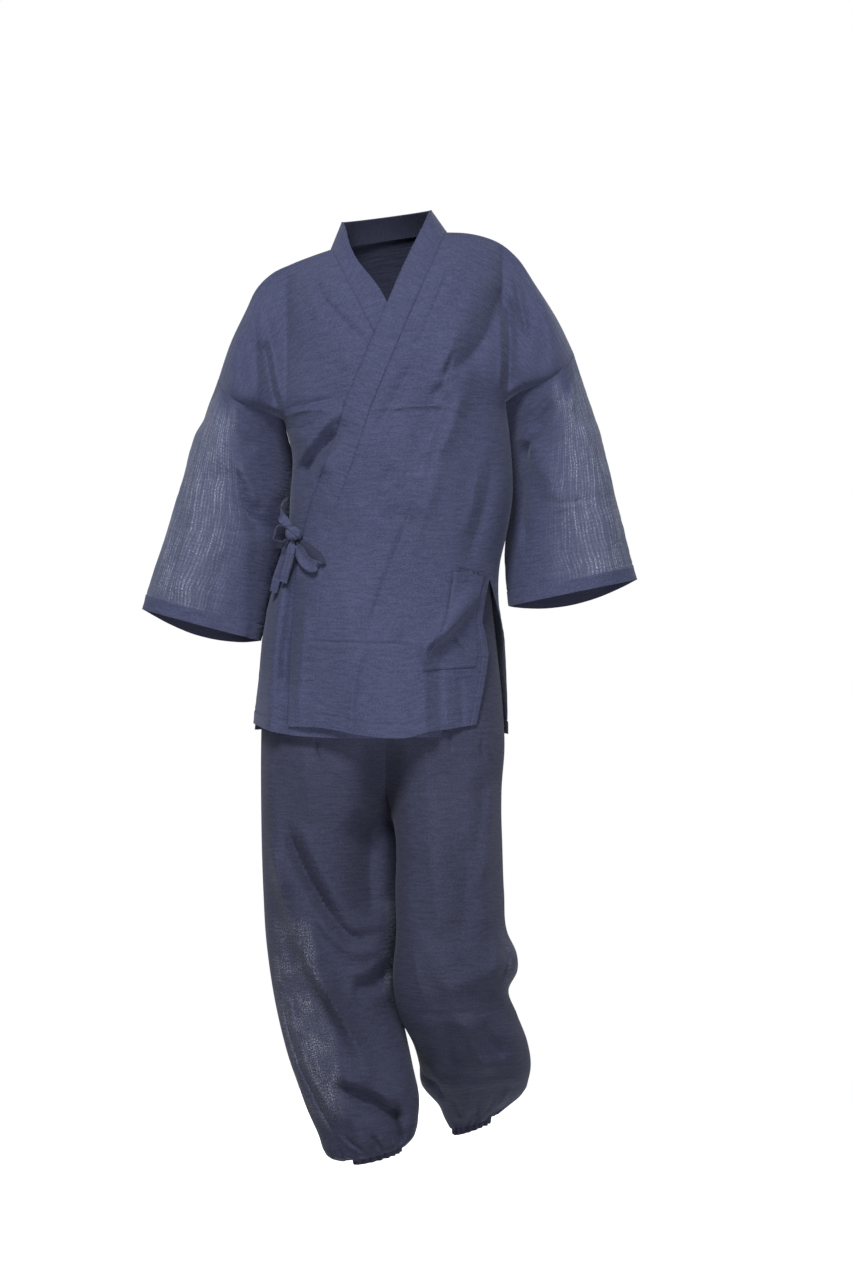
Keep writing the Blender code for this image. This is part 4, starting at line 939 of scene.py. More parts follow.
sideSign = {"right": -1, "left": 1}
collarShape = {
    "width": 38,
    "thickness": 2.2,
    "turned": {"right": 0.26, "left": 0.0},  # how much of the width turns over, this far below the neck
    "turnedAt": 45,
    "turnedReach": 35,
    "tips": {"right": (-66, 24), "left": (68, 42)},
    "tipReach": 130,  # how far down the band still leans towards its tip
    "level": (550, 150),
    "layer": 0.9,  # how far it lies off the front, and how much more in its middle
    "full": {"right": 1.6, "left": 4.0},
    "standBulge": 2,
    "neckBulge": 12,
    "stands": 25,
    "lies": 75,
    "sunk": 0.7,  # how far its sewn edge is below the front
    "uneven": 0.5,
    "seed": {"right": 81, "left": 82},
    "seams": ((2.6, False), (1.8, True)),  # distance of each from the band's first or last edge
    "neckDepth": 72,
    "neckRise": 10,
    "lean": 20,
}
neckSeamX = {"right": -62, "left": 76}


def neckBase(angle):
    # The line where the band is sewn to the back of the neck
    (rightX, rightDrop), (leftX, leftDrop) = shoulderLine["right"][0], shoulderLine["left"][0]
    ends = (rightX, -rightDrop), (leftX, -leftDrop)
    return neckCurve(angle, *ends, collarShape["neckDepth"], collarShape["neckRise"])


def neckTop(angle):
    # The band's free edge behind the neck
    tips = collarShape["tips"]
    depth = collarShape["neckDepth"] - collarShape["lean"]
    return neckCurve(angle, tips["right"], tips["left"], depth, collarShape["neckRise"] / 2)


def backPanel():
    # The back, columns from the right sleeve seam round to the left one
    d = shoulderShares
    u = finer(0, 1, jacket["columnStep"]["shoulder"], (0.9,), 0.08, 1.0)[None, :]
    right = stack(*armholeRows("right", u, d, 1, neckSeamX["right"]))[:, ::-1]
    left = stack(*armholeRows("left", u, d, 1, neckSeamX["left"]))
    t = np.linspace(0, 1, jacket["neckColumns"] + 1)[1:-1]
    top = neckBase(np.pi * (1 - t))
    middle, half = ringMiddle(jacket["armpit"])
    lowX = neckSeamX["right"] + (neckSeamX["left"] - neckSeamX["right"]) * t
    lowY = bodyAt("back", jacket["armpit"]) * (1 - ((lowX - middle) / half) ** 2) ** (jacket["fullness"] / 2)
    low = stack(lowX, lowY, rowHeight(lowX, jacket["armpit"]))
    eased, rounded = (1 - np.cos(np.pi * d / 2))[..., None], np.sin(np.pi * d / 2)[..., None]
    neck = top + (low - top) * (np.array((0, 1, 0)) * rounded + np.array((1, 0, 1)) * eased)
    upper = np.concatenate((right, neck, left), axis=1)

    spot = np.concatenate((1 - u[0][::-1], 1 + t, 2 + u[0]))[None, :]
    drop = lowerDrops
    middle, half = ringMiddle(drop)
    first = -np.pi + np.radians(pairs(sideSeam["right_back"], drop, np.interp))
    last = np.radians(pairs(sideSeam["left_back"], drop, np.interp))
    about, reach = jacket["backRing"]
    inner = [-np.arccos((neckSeamX[side] - about) / reach) for side in ("right", "left")]
    angle = between(spot, (0, 1, 2, 3), (first, inner[0], inner[1], last))
    x = middle + half * np.cos(angle)
    depth = np.where(np.sin(angle) > 0, bodyAt("front", drop), bodyAt("back", drop))
    z = lowered(rowHeight(x, drop), x, drop, hemLine["back"])
    points = np.concatenate((upper, stack(x, depth * roundAt(angle), z)))
    hold = ease(spot * 3) * ease((3 - spot) * 3)
    points = softened(points, jacket["shoulderRows"], 5, hold)
    free = ease(np.arange(len(points)) / 14)[None, :]
    for corner in (u.shape[1] - 1, u.shape[1] + len(t)):
        points = softened(points.swapaxes(0, 1), corner, 7, free).swapaxes(0, 1)
    x, y, z = points[..., 0], points[..., 1], points[..., 2]
    relief = foldsAt(backFolds, x, -z) + creasesAt(backCreases, x, -z) + puckers(x, z, 11)
    points[..., 1] += relief * ease(y / 50)
    return hemmed(points, -1, (True, False))


bandShares = finer(0, 1, 1 / 12, (0.035, 0.98), 0.05, 4)


def collarHalf(side, panel):
    # The band along one front, across from its seam to its free edge, rows from the neck to the hem. It runs
    # square to the seam, towards the neck's corner at its top and level at the hem. At the neck it stands, and
    # further down it lies on the front.
    shape, sign = collarShape, -sideSign[side]
    seam = panel[:, 0]
    fall = seam[0, 2] - seam[:, 2]
    run = unit(np.gradient(seam, axis=0)[:, [0, 2]])
    tip = np.array(shape["tips"][side], float) - seam[0, [0, 2]]
    tall = np.linalg.norm(tip)
    near = falling(fall, 0, shape["tipReach"])[:, None]
    level = rising(-seam[:, 2], *shape["level"])[:, None]
    across = np.stack((-run[:, 1], run[:, 0]), axis=-1) * sign
    across = unit(across * (1 - near) * (1 - level) + tip / tall * near + np.array((sign, 0)) * level)
    share = bandShares[None, :]
    turned = shape["turned"][side] * bell(fall - shape["turnedAt"], shape["turnedReach"]) * ease(fall / 30)
    reach = (shape["width"] + (tall - shape["width"]) * near) * (1 - turned[:, None]) * share
    x = seam[:, :1] + across[:, :1] * reach
    z = seam[:, 2:] + across[:, 1:] * reach
    full = shape["layer"] + shape["full"][side] * share * (1 - share)
    lying = frontSurface(x, z, side == "left")[..., 1] - full * (1 - near)
    bulge = shape["standBulge"] * np.sin(np.pi * share)
    standing = seam[:, 1:2] - bulge * ease(fall / shape["stands"])[:, None]
    y = standing + (lying - standing) * ease(fall / shape["lies"])[:, None]
    uneven = shape["uneven"] * unevenness(share * shape["width"], seam[:, 2:], 14, 9, shape["seed"][side])
    y = y - uneven * ease(share / 0.2) * ease((1 - share) / 0.1)
    y = y + (seam[:, 1:2] + shape["sunk"] - y) * (1 - ease(share / 0.07))
    return stack(x, y, z)


def collarBand(right, left):
    # The whole band: up the right front, round the neck and down the left front
    t = np.linspace(0, 1, 60)[1:-1]
    base, top = neckBase(np.pi * (1 - t)), neckTop(np.pi * (1 - t))
    share = bandShares[None, :, None]
    bulge = collarShape["neckBulge"] * share * (1 - share) * np.sin(np.pi * t)[:, None, None]
    neck = base[:, None] + (top - base)[:, None] * share + np.array((0, 1, 0)) * bulge
    band = np.concatenate((collarHalf("right", right)[::-1], neck, collarHalf("left", left)))
    for distance, last in collarShape["seams"]:
        sew(band, -1, np.arange(len(band)), placeAt(band, distance, last))
    return band


sleeveColumns = ("along", "outerX", "outerDrop", "innerX", "innerDrop", "middle", "behind", "front", "back")
sleeves = {
    "sag": 20,  # how much lower the front of the sleeve seam hangs
    "cuffBack": 18,  # how much lower the back of the cuff hangs
    "rowStep": 1 / 104,
    "around": 66,  # columns in front, and as many behind
    "calm": 0.75,  # how much lower its creases are behind
    "span": 340,  # length in front for its puckers
    "seamGroove": (0.6, 2.6),  # depth and width
    "seamPuckers": (0.5, 8, 16, 12),  # height, size along and across the seam, and reach
    "seamStitches": 4.5,
    "seed": {"right": 21, "left": 31},
    "right": {
        "columns": sleeveColumns,
        "rows": (
            (0.00, -250, 210, -153, 272, 0, 0, 76, 72),
            (0.25, -283, 303, -139, 348, -4, 50, 72, 64),
            (0.50, -312, 394, -146, 430, -9, 54, 68, 60),
            (0.75, -340, 481, -167, 520, -14, 44, 62, 58),
            (1.00, -364, 557, -189, 604, -18, 24, 56, 58),
        ),
    },
    "left": {
        "columns": sleeveColumns,
        "rows": (
            (0.00, 280, 170, 180, 243, 0, 0, 76, 72),
            (0.25, 311, 263, 186, 315, -4, 36, 72, 66),
            (0.50, 334, 350, 188, 392, -8, 52, 68, 60),
            (0.75, 356, 440, 179, 474, -12, 44, 62, 58),
            (1.00, 375, 513, 184, 552, -16, 24, 56, 58),
        ),
    },
}
sleeveFolds = {
    "right": (
        (-238, 363, -186, 434, 14, -9), (-280, 300, -300, 520, 18, 6), (-210, 460, -215, 590, 14, 5),
    ),
    "left": (
        (254, 402, 320, 400, 14, -3), (214, 300, 262, 400, 16, 8), (300, 300, 330, 500, 16, 6),
    ),
}
sleeveCreases = {
    "right": (
        (4, -8.4, 0.3, -228, 340, -214, 372, -202, 408, -180, 438),
        (6, 5.6, 0, -218, 336, -202, 372, -188, 408),
        (2.8, -1.8, 0, -318, 436, -262, 440, -210, 441, -164, 446),
        (2.6, 1.7, 0, -300, 445, -250, 448, -200, 450), (9, 4.9, 0, -262, 230, -250, 300, -262, 380),
        (8, -4.2, 0, -290, 330, -300, 420, -318, 520), (9, -4.8, 0, -240, 470, -252, 520, -262, 574),
        (7, -5.6, 0, -236, 262, -214, 300, -192, 322),
    ),
    "left": (
        (3.4, 6.4, -0.5, 264, 218, 240, 238, 208, 268), (9, -11.2, 0.2, 256, 236, 238, 268, 218, 304, 194, 342),
        (8, 6.3, 0, 266, 246, 244, 284, 214, 330), (2.8, -2.4, 0, 242, 402, 276, 399, 310, 393),
        (2.8, 1.4, 0, 240, 408, 300, 402, 352, 396), (4, 4.8, 0, 281, 212, 277, 240, 275, 270),
        (8, -7, 0, 204, 346, 200, 400, 206, 470), (9, -4.2, 0, 262, 420, 268, 470, 276, 530),
        (8, 4.2, 0, 318, 330, 330, 400, 344, 470),
    ),
}


def sleeve(side, front, back):
    # Rings from the armhole to the cuff, round by the front from the outer edge: half a wave before and behind.
    # The first ring is the armhole of the front and the back.
    half = np.linspace(0, 1, sleeves["around"] + 1)
    around = np.concatenate((half, half[-2:0:-1]))[None, :]
    inFront = (np.arange(around.shape[1]) <= sleeves["around"])[None, :]
    length = np.hypot(*np.diff(np.array(sleeves[side]["rows"], float)[[0, -1], 1:3], axis=0)[0])
    along = finer(0, 1, sleeves["rowStep"], (1 - hems["cuffBand"] / length,), 0.012)[:, None]

    def read(name):
        return column(sleeves[side], name, along)

    wave = np.sin(np.pi * around)
    pointed = 1 - np.cos(np.pi * around / 2)
    share = pointed + ((1 - np.cos(np.pi * around)) / 2 - pointed) * ease(along * 1.6)
    x = read("outerX") + (read("innerX") - read("outerX")) * share
    drop = read("outerDrop") + (read("innerDrop") - read("outerDrop")) * share
    depth = np.where(inFront, -read("front"), read("back"))
    y = read("middle") + read("behind") * share**2 + depth * wave
    sag = np.where(inFront, sleeves["sag"], sleeves["sag"] / 2) * (1 - along)
    sag = sag + np.where(inFront, 0, sleeves["cuffBack"]) * along
    points = stack(x, y, -drop - sag * wave**2)

    x, y, z = points[..., 0], points[..., 1], points[..., 2]
    seed = sleeves["seed"][side]
    calm = 1 - sleeves["calm"] * ease(y / 40 + 0.5)
    relief = foldsAt(sleeveFolds[side], x, -z) + creasesAt(sleeveCreases[side], x, -z) * calm
    relief = relief + puckers(x + 3 * y, z, seed)
    ring = unit(points - points.mean(axis=1, keepdims=True))
    points = points + ring * (relief * ease(along * 5))[..., None]
    rows = np.linspace(0, 1, jacket["shoulderRows"] + 1)
    edges = (front, -1), (back, -1 if side == "left" else 0)
    seam = [lineAt(half, rows, panel[: len(rows), edge]) for panel, edge in edges]
    seam = np.concatenate((seam[0], seam[1][-2:0:-1]))
    points = points + (seam - points[0]) * (1 - ease(along * 2.5))[..., None]

    outward = -sideSign[side]
    low, high = downward(points, True), downward(points, False)
    across = sleeves["span"] * around
    (groove, width), (pucker, *sizes, reach) = sleeves["seamGroove"], sleeves["seamPuckers"]
    relief = sewnDown(low, hems["cuffBand"], across, seed + 5) - groove * bell(high, width) * ease(high / 1.2)
    relief = relief + pucker * unevenness(across, high, *sizes, seed + 6) * bell(high, reach) * ease(high / 3)
    points = points + normalsOf(points, True) * outward * relief[..., None]
    for distance, fromLast in ((hems["cuffBand"] - hems["edge"], True), (sleeves["seamStitches"], False)):
        sew(points, outward, rowAt(points, distance, fromLast), np.arange(points.shape[1]))
    return points, sleeveSheer(points, around, along)


def sleeveSheer(points, around, along):
    # How much painted light shows through the thin cloth: on the outside, from a ragged line below the seam to
    # the cuff, and less behind
    ragged = 0.05 * unevenness(points[..., 0] + points[..., 1], 0 * along, 11, 9, 101)
    shown = ease((0.66 - around) / 0.3) * ease((along - 0.03 - ragged) / 0.09) * falling(along, 0.925, 0.01)
    return shown * (1 - 0.5 * ease(points[..., 1] / 60 + 0.6))


def pocketPatch():
    # The over front's own points, moved out by the gap and the pocket's wall, with a mouth that stands off
    columns, rows = pocketShape["grid"]
    share = np.linspace(*pocketShape["share"], columns)[None, :]
    ground = creased(*frontLower("left", share, np.linspace(*pocketShape["drops"], rows)[:, None]))
    lifted = ground + normalsOf(ground) * (pocketShape["gap"] + pocketShape["wall"])
    high = downward(lifted, False)
    relief = sewnDown(high, pocketShape["hem"], lifted[..., 0], 71)
    bow = np.sin(np.pi * np.linspace(0, 1, columns))[None, :] ** 0.5
    mouth = pocketShape["mouth"] * bell(high, pocketShape["mouthReach"]) * bow
    lifted = lifted + normalsOf(lifted) * (relief * 0.7 + mouth)[..., None]
    every = np.arange(columns)
    sew(lifted, 1, rowAt(lifted, pocketShape["hem"] - hems["edge"], False), every)
    for last in (True, False):
        sew(lifted, 1, np.arange(rows), placeAt(lifted, pocketShape["seam"], last))
    sew(lifted, 1, rowAt(lifted, pocketShape["seam"], True), every)
    return lifted


hipsTable = {
    "columns": ("drop", "right", "left", "front", "back"),
    "rows": (
        (420, -142, 150, -104, 82),
        (462, -146, 152, -106, 84),
        (540, -160, 158, -112, 98),
        (620, -176, 167, -117, 110),
        (700, -185, 175, -118, 115),
        (770, -187, 178, -115, 114),
        (840, -187, 171, -108, 110),
    ),
}
legTables = {
    "right": {
        "columns": ("drop", "outer", "inner", "middle", "front", "back"),
        "rows": (
            (840, -187, 1.2, 0, 108, 110),
            (900, -186, 17, -2, 106, 106),
            (980, -183, 20, -8, 100, 100),
            (1045, -179, 21, -14, 96, 96),
            (1100, -172, 17, -20, 93, 93),
            (1140, -165, 18, -25, 91, 92),
            (1180, -156, 27, -30, 89, 91),
            (1235, -140, 40, -38, 84, 90),
            (1285, -119, 50, -46, 78, 86),
            (1320, -99, 49, -52, 70, 78),
            (1341, -90, 46, -56, 62, 69),
            (1354, -80, 40, -59, 54, 59),
            (1361, -66, 32, -59, 47, 51),
            (1371, -48, 23, -59, 38, 41),
        ),
    },
    "left": {
        "columns": ("drop", "outer", "inner", "middle", "front", "back"),
        "rows": (
            (840, 171, -1.2, 0, 108, 110),
            (870, 173, 10, -4, 109, 108),
            (980, 177, 15, -16, 106, 102),
            (1040, 182, 16, -20, 102, 98),
            (1072, 196, 13, -18, 100, 97),
            (1096, 197, 11, -14, 98, 96),
            (1125, 184, 13, -8, 95, 95),
            (1165, 197, 22, 8, 92, 95),
            (1208, 213, 41, 30, 88, 94),
            (1245, 219, 50, 52, 83, 90),
            (1275, 216, 54, 72, 78, 86),
            (1304, 211, 80, 92, 68, 77),
            (1322, 202, 88, 108, 59, 66),
            (1335, 186, 94, 119, 51, 56),
            (1343, 172, 98, 120, 44, 48),
            (1352, 160, 102, 120, 37, 41),
        ),
    },
}
trousers = {
    "cloth": 1.3,
    "waistTop": 424,
    "waistSeam": 460,
    "hipsFree": 540,
    "seat": 2.1,  # how far inside the jacket the waist lies
    "riseStart": 620,
    "crotch": 840,
    "crotchCurve": 1.3,
    "inseamTurn": {"right": 45, "left": -45},  # how far the inseam lies off the leg's middle, down to here
    "inseamBack": (1160, 100),
    "ankleTilt": {"right": (0.25, -12), "left": (0.33, 129)},  # slope of the last rings, and about which x
    "tiltFrom": 1250,
    "turnUp": {"right": 1361, "left": 1343},  # the lowest the cloth hangs before it turns up to its casing
    "last": {"right": 1371, "left": 1352},
    "rowStep": 3.9,
    "across": 76,
    "dip": 32,  # how far the front draws in between the legs
    "dipWidth": 20,
    "dipFrom": (735, 50),
    "dipGone": (850, 60),
    "casingHeight": 19,
    "casingLean": 2,
    "gathers": 18,
    "gatherHeight": 2.8,
    "gatherDrift": 0.035,
    "blouseFrom": 44,
    "blouseEnds": 2.6,  # how uneven the cloth ends that hangs over the casing
    "seed": {"right": 51, "left": 41, "front": 91, "back": 95},
}
sheerZones = {  # how much, its soft side's width, and where it begins and ends down the leg, with their runs
    "left": (0.7, 16, (1010, 40), (1130, 30)),
    "rightOuter": (1.0, 14, (985, 60), (1290, 40)),
    "rightInner": (1.0, 10, (985, 15), (1110, 25)),
}
sheerLine = ((960, -118), (1080, -92), (1180, -70), (1300, -50))  # drop, x
legFolds = {
    "right": (
        (-176, 800, -150, 960, 16, 8), (-150, 960, -84, 1110, 16, 9), (-84, 1110, -26, 1235, 15, 8),
        (-86, 1020, -16, 1062, 14, 8), (-44, 1120, -4, 1135, 13, 6), (-24, 1262, 24, 1330, 12, -8),
        (-120, 1180, -70, 1300, 14, 7), (-60, 1240, -36, 1350, 11, 6), (-14, 760, -20, 900, 15, -6),
    ),
    "left": (
        (60, 770, 92, 1000, 20, 7), (130, 800, 150, 1010, 18, 6), (186, 1080, 100, 1110, 15, 6),
        (60, 1050, 120, 1160, 18, 6), (190, 1190, 110, 1165, 15, 4), (70, 1180, 150, 1240, 16, 5),
        (90, 1270, 190, 1262, 12, 5), (110, 1260, 120, 1330, 10, 5),
    ),
}
legCreases = {
    "right": {
        "front": (
            (12, 19, 0.2, -179, 864, -162, 938, -137, 1019, -112, 1080, -82, 1126, -47, 1189, -14, 1236),
            (9, -20, 0.2, -148, 870, -136, 905, -112, 957, -76, 1016, -42, 1044, 2, 1040),
            (4.5, 8, 0.2, -168, 900, -150, 972, -126, 1046, -98, 1100, -66, 1152, -30, 1212),
            (20, 12, 0, -128, 856, -100, 926, -66, 984, -34, 1010, 2, 1006),
            (9, 6, 0, -150, 904, -122, 968, -84, 1034, -44, 1066, 0, 1062),
            (10, -16, 0, -52, 1118, -20, 1114, 8, 1086), (8.8, 6.8, 0, -60, 1096, -26, 1092, 6, 1066),
            (3.3, 5.1, 0, -6, 1114, 10, 1140, 28, 1166),
            (2.9, -6.1, 0.3, -146, 1112, -149, 1152, -128, 1225, -110, 1264, -86, 1309, -56, 1354),
            (3.4, 5.6, 0, -136, 1120, -138, 1160, -116, 1226, -76, 1300),
            (12, -22, 0.3, -84, 1252, -41, 1272, 15, 1300, 36, 1318), (9, 9, 0, -70, 1240, -20, 1262, 22, 1290),
            (2.4, -4.1, 0, -103, 744, -100, 768, -97, 790), (13.2, 5.1, 0, -120, 760, -116, 810, -104, 880),
            (17.6, 5.1, 0, -66, 770, -56, 830, -50, 900), (26, -34, 0, -16, 850, -24, 940, -18, 1030),
            (4.5, -15, 0, 8, 1284, 18, 1318, 24, 1354), (3.3, -5.1, 0, -62, 1332, -40, 1346, -26, 1358),
            (3.3, -5.8, 0, -20, 1326, -10, 1344, -6, 1358), (2.9, -5.1, 0, 8, 1322, 10, 1340, 10, 1356),
            (3.3, 4.1, 0, -80, 1322, -58, 1340, -44, 1354), (2.9, 4.1, 0, -6, 1330, 0, 1346, 2, 1358),
            (6.6, 5.1, 0, -30, 1300, -22, 1326, -18, 1350),
        ),
        "back": (
            (9.9, 8.5, 0.3, -150, 800, -120, 900, -90, 1000, -60, 1100, -30, 1190),
            (9.9, -11.9, 0, -110, 860, -70, 960, -40, 1020, 0, 1044),
            (9.9, -10.2, 0, -120, 1080, -60, 1120, 4, 1106), (8.8, -10.2, 0, -130, 1180, -70, 1210, 10, 1190),
            (8.8, -11.9, 0, -100, 1260, -50, 1284, 10, 1276), (3.7, -5.1, 0, -90, 1312, -66, 1334, -46, 1354),
            (3.3, -5.1, 0, -40, 1316, -28, 1336, -22, 1356), (3.3, -5.1, 0, 4, 1316, 2, 1336, 0, 1354),
        ),
    },
    "left": {
        "front": (
            (9, 8.5, 0.2, 158, 806, 156, 860, 152, 916, 138, 962), (8.8, -6.8, 0, 140, 800, 140, 860, 132, 930),
            (34, -14, 0, 104, 590, 108, 660, 106, 744), (2.2, -4.1, 0, 95, 730, 95, 750, 96, 772),
            (3.3, 4.1, 0, 140, 742, 152, 758, 160, 782), (2.9, -3.7, 0, 150, 736, 142, 760, 148, 784),
            (5, -9.3, 0, 184, 1034, 176, 1058, 182, 1078, 168, 1106),
            (6.6, 6.1, 0, 172, 1030, 166, 1062, 160, 1096),
            (3, -1.4, 0, 26, 1144, 60, 1151, 100, 1148, 142, 1150, 184, 1151),
            (4, 0.8, 0, 30, 1138, 80, 1144, 170, 1144),
            (10, 11, 0.2, 112, 1152, 124, 1186, 138, 1216, 160, 1248),
            (12.1, -10.2, 0, 88, 1160, 92, 1200, 104, 1244), (8.8, -7.6, 0, 140, 1160, 158, 1196, 180, 1226),
            (36, 17, 0, 40, 1226, 100, 1238, 160, 1236, 220, 1222),
            (4.4, -11.9, -0.3, 44, 1236, 54, 1258, 78, 1272, 86, 1300),
            (6.6, 6.8, 0, 58, 1232, 74, 1254, 96, 1270), (8.8, 5.1, 0, 40, 1050, 48, 1090, 60, 1136),
            (15.4, 5.8, 0, 64, 880, 72, 960, 80, 1050), (15.4, -5.1, 0, 120, 880, 118, 960, 112, 1060),
            (3.3, -5.8, 0, 100, 1290, 108, 1312, 114, 1330), (4.4, 5.1, 0, 120, 1276, 124, 1304, 126, 1326),
            (3.3, -5.8, 0, 138, 1290, 138, 1312, 136, 1328), (3.3, -5.1, 0, 164, 1284, 158, 1306, 150, 1322),
            (4.4, 5.1, 0, 184, 1274, 176, 1298, 166, 1312),
        ),
        "back": (
            (9.9, 8.5, 0, 140, 800, 130, 900, 118, 1000, 90, 1090),
            (9.9, -10.2, 0, 60, 880, 90, 980, 130, 1050, 180, 1080),
            (9.9, -10.2, 0, 50, 1120, 110, 1150, 180, 1140), (8.8, -10.2, 0, 60, 1200, 120, 1226, 196, 1210),
            (8.8, -10.2, 0, 90, 1266, 140, 1286, 196, 1272), (3.3, -5.1, 0, 112, 1300, 118, 1318, 124, 1332),
            (3.3, -5.1, 0, 150, 1300, 148, 1318, 144, 1330), (3.3, -5.1, 0, 180, 1292, 174, 1308, 164, 1324),
        ),
    },
}


def hipsAt(name, drop):
    # The hips' table, but on the right side just inside the jacket at the waist
    value = column(hipsTable, name, drop)
    if name != "right":
        return value
    held = bodyAt("right", drop) + 1.5 + trousers["seat"]
    first, free = trousers["waistSeam"], trousers["hipsFree"]
    return held + (value - held) * rising(drop, first, free - first)


def legRows(side, face, drop, t):
    # A leg's half ring at each drop, from the centre seam or inseam round to the side seam. Above the crotch
    # its middle moves out from the middle of the hips to that of the leg.
    sign = sideSign[side]
    table = legTables[side]
    above = drop < trousers["crotch"]
    outer = sign * hipsAt(side, np.minimum(drop, trousers["crotch"]))
    rise = np.clip((drop - trousers["riseStart"]) / (trousers["crotch"] - trousers["riseStart"]), 0, 1)
    shift = outer / 2 * (1 - (1 - rise) ** trousers["crotchCurve"])
    low = np.maximum(drop, trousers["crotch"])
    legOuter, legInner = sign * column(table, "outer", low), sign * column(table, "inner", low)
    half = np.where(above, outer - shift, (legOuter - legInner) / 2)
    shift = np.where(above, shift, (legOuter + legInner) / 2)
    start = np.where(above, np.arccos(np.clip(shift / half, 0, 1)), 0)
    hips = np.abs(hipsAt(face, np.minimum(drop, trousers["crotch"])))
    depth = np.where(above, hips, column(table, face, low))
    middle = np.where(above, 0, column(table, "middle", low))
    angle = start + (np.pi - start) * t
    turned = rising(drop, trousers["crotch"], 40) * falling(drop, *trousers["inseamBack"])
    middle = middle + trousers["inseamTurn"][side] * turned * (1 + np.cos(angle)) / 2
    x = sign * (shift - half * np.cos(angle))
    facing = -1 if face == "front" else 1
    y = middle + facing * depth * roundAt(angle)
    tilt, about = trousers["ankleTilt"][side]
    hanging = np.minimum(drop, 2 * trousers["turnUp"][side] - drop)
    z = -hanging + tilt * (x - about) * rising(drop, trousers["tiltFrom"], 100)
    return stack(x, y, z)


def legPanel(side, face):
    # A leg's panel: its half rings, softened at the crotch, with folds, the dip between the legs, and gathers
    low = trousers["turnUp"][side]
    drop = np.arange(trousers["waistSeam"] + 0.4, low - 24, trousers["rowStep"])
    drop = np.concatenate((drop, np.arange(drop[-1] + 2, trousers["last"][side], 1.8)))
    drop = np.append(drop, trousers["last"][side])[:, None]
    t = np.linspace(0, 1, trousers["across"] + 1)[None, :]
    points = legRows(side, face, drop, t)
    crotchRow = np.searchsorted(drop[:, 0], trousers["crotch"] + 8)
    points = softened(points, crotchRow, 9, ease(t * 6) + 0 * drop)
    facing = -1 if face == "front" else 1
    steady = rising(drop, 550, 150) * falling(drop - low, -6, 20)
    x, z = points[..., 0], points[..., 2]
    relief = foldsAt(legFolds[side], x, -z) * -facing
    relief = relief + creasesAt(legCreases[side][face], x, -z) + puckers(x, z, trousers["seed"][side])
    relief = relief * ease(t * 7) * ease((1 - t) * 9) * steady
    if face == "front":
        middle = bell(x, trousers["dipWidth"]) * rising(-z, *trousers["dipFrom"])
        relief = relief - trousers["dip"] * (middle * falling(-z, *trousers["dipGone"]))
    points[..., 1] += facing * relief

    # Gathers fan out above the casing, and the cloth that hangs over it ends unevenly
    across, seed = t * 100, trousers["seed"][face]
    phase = np.pi * trousers["gathers"] * (t + trousers["gatherDrift"] * unevenness(across, drop, 16, 60, seed))
    top = trousers["blouseFrom"] * (0.7 + 0.5 * unevenness(across, 0 * drop, 7, 9, seed + 1))
    fade = falling(drop - low, 1, 7)
    heart = points.mean(axis=1, keepdims=True) * np.array((1, 0, 1))
    heart = heart + np.array((0, 1, 0)) * column(legTables[side], "middle", drop)[..., None]
    out = unit((points - heart) * np.array((1, 1, 0)))
    wave = trousers["gatherHeight"] * np.cos(phase) * (0.75 + 0.5 * unevenness(across, drop, 9, 30, seed + 2))
    wave = wave * ease((drop - low + top) / 34) * fade * np.sin(np.pi * t) ** 0.4
    points = points + out * wave[..., None]
    ends = trousers["blouseEnds"] * unevenness(across, 0 * drop, 8, 9, seed + 3)
    points[..., 2] -= ends * rising(drop - low, -26, 22) * fade
    return points


def legSheer(side, points):
    # Where one layer lets the light through: low on the outer sides, and on the right leg's inner side
    x, y, drop = points[..., 0], points[..., 1], -points[..., 2]

    def zone(name, off):
        most, soft, begins, ends = sheerZones[name]
        return most * ease(off / soft) * rising(drop, *begins) * falling(drop, *ends)

    if side == "left":
        return zone("left", x - 168)
    outer = zone("rightOuter", pairs(sheerLine, drop, np.interp) - x) * (1 - 0.8 * ease((y + 85) / 70))
    return np.maximum(outer, zone("rightInner", x + 6))


def casing(side):
    # The gathered ankle hem: cosine waves round the ring, growing from its seam to its edge
    parts = trousers["gathers"] * 10
    turn = np.linspace(0, 2 * np.pi, parts, endpoint=False)
    t = np.linspace(0, 1, 60)[None, :]
    last = np.array([[trousers["last"][side]]], float)
    front, back = legRows(side, "front", last, t)[0], legRows(side, "back", last, t)[0]
    ring = np.concatenate((front, back[::-1][1:-1]))
    loop = np.concatenate((ring, ring[:1]))
    along = np.linspace(0, len(ring), parts, endpoint=False)
    base = lineAt(along, np.arange(len(loop)), loop)
    out = unit((base - base.mean(axis=0)) * np.array((1, 1, 0)))
    share = np.linspace(0, 1, 12)[:, None]
    uneven = 1 + 0.3 * np.sin(5 * turn + 1) + 0.2 * np.sin(11 * turn)
    wave = trousers["gatherHeight"] * np.cos(trousers["gathers"] * turn) * uneven * ease(share * 1.5)
    push = wave - trousers["casingLean"] * share
    points = base[None] + out[None] * push[..., None]
    points[..., 2] -= trousers["casingHeight"] * share
    return points


def waistband():
    # Rings of the hips, a little inside the jacket
    angle = np.linspace(0, 2 * np.pi, 180, endpoint=False)[None, :]
    drop = np.linspace(trousers["waistTop"], trousers["waistSeam"], 12)[:, None]
    left, right = hipsAt("left", drop), hipsAt("right", drop)
    depth = np.where(np.sin(angle) > 0, hipsAt("front", drop), hipsAt("back", drop))
    x = (left + right) / 2 + (left - right) / 2 * np.cos(angle)
    y = -np.sign(np.sin(angle)) * np.abs(depth) * roundAt(angle)
    return stack(x, y, -drop)


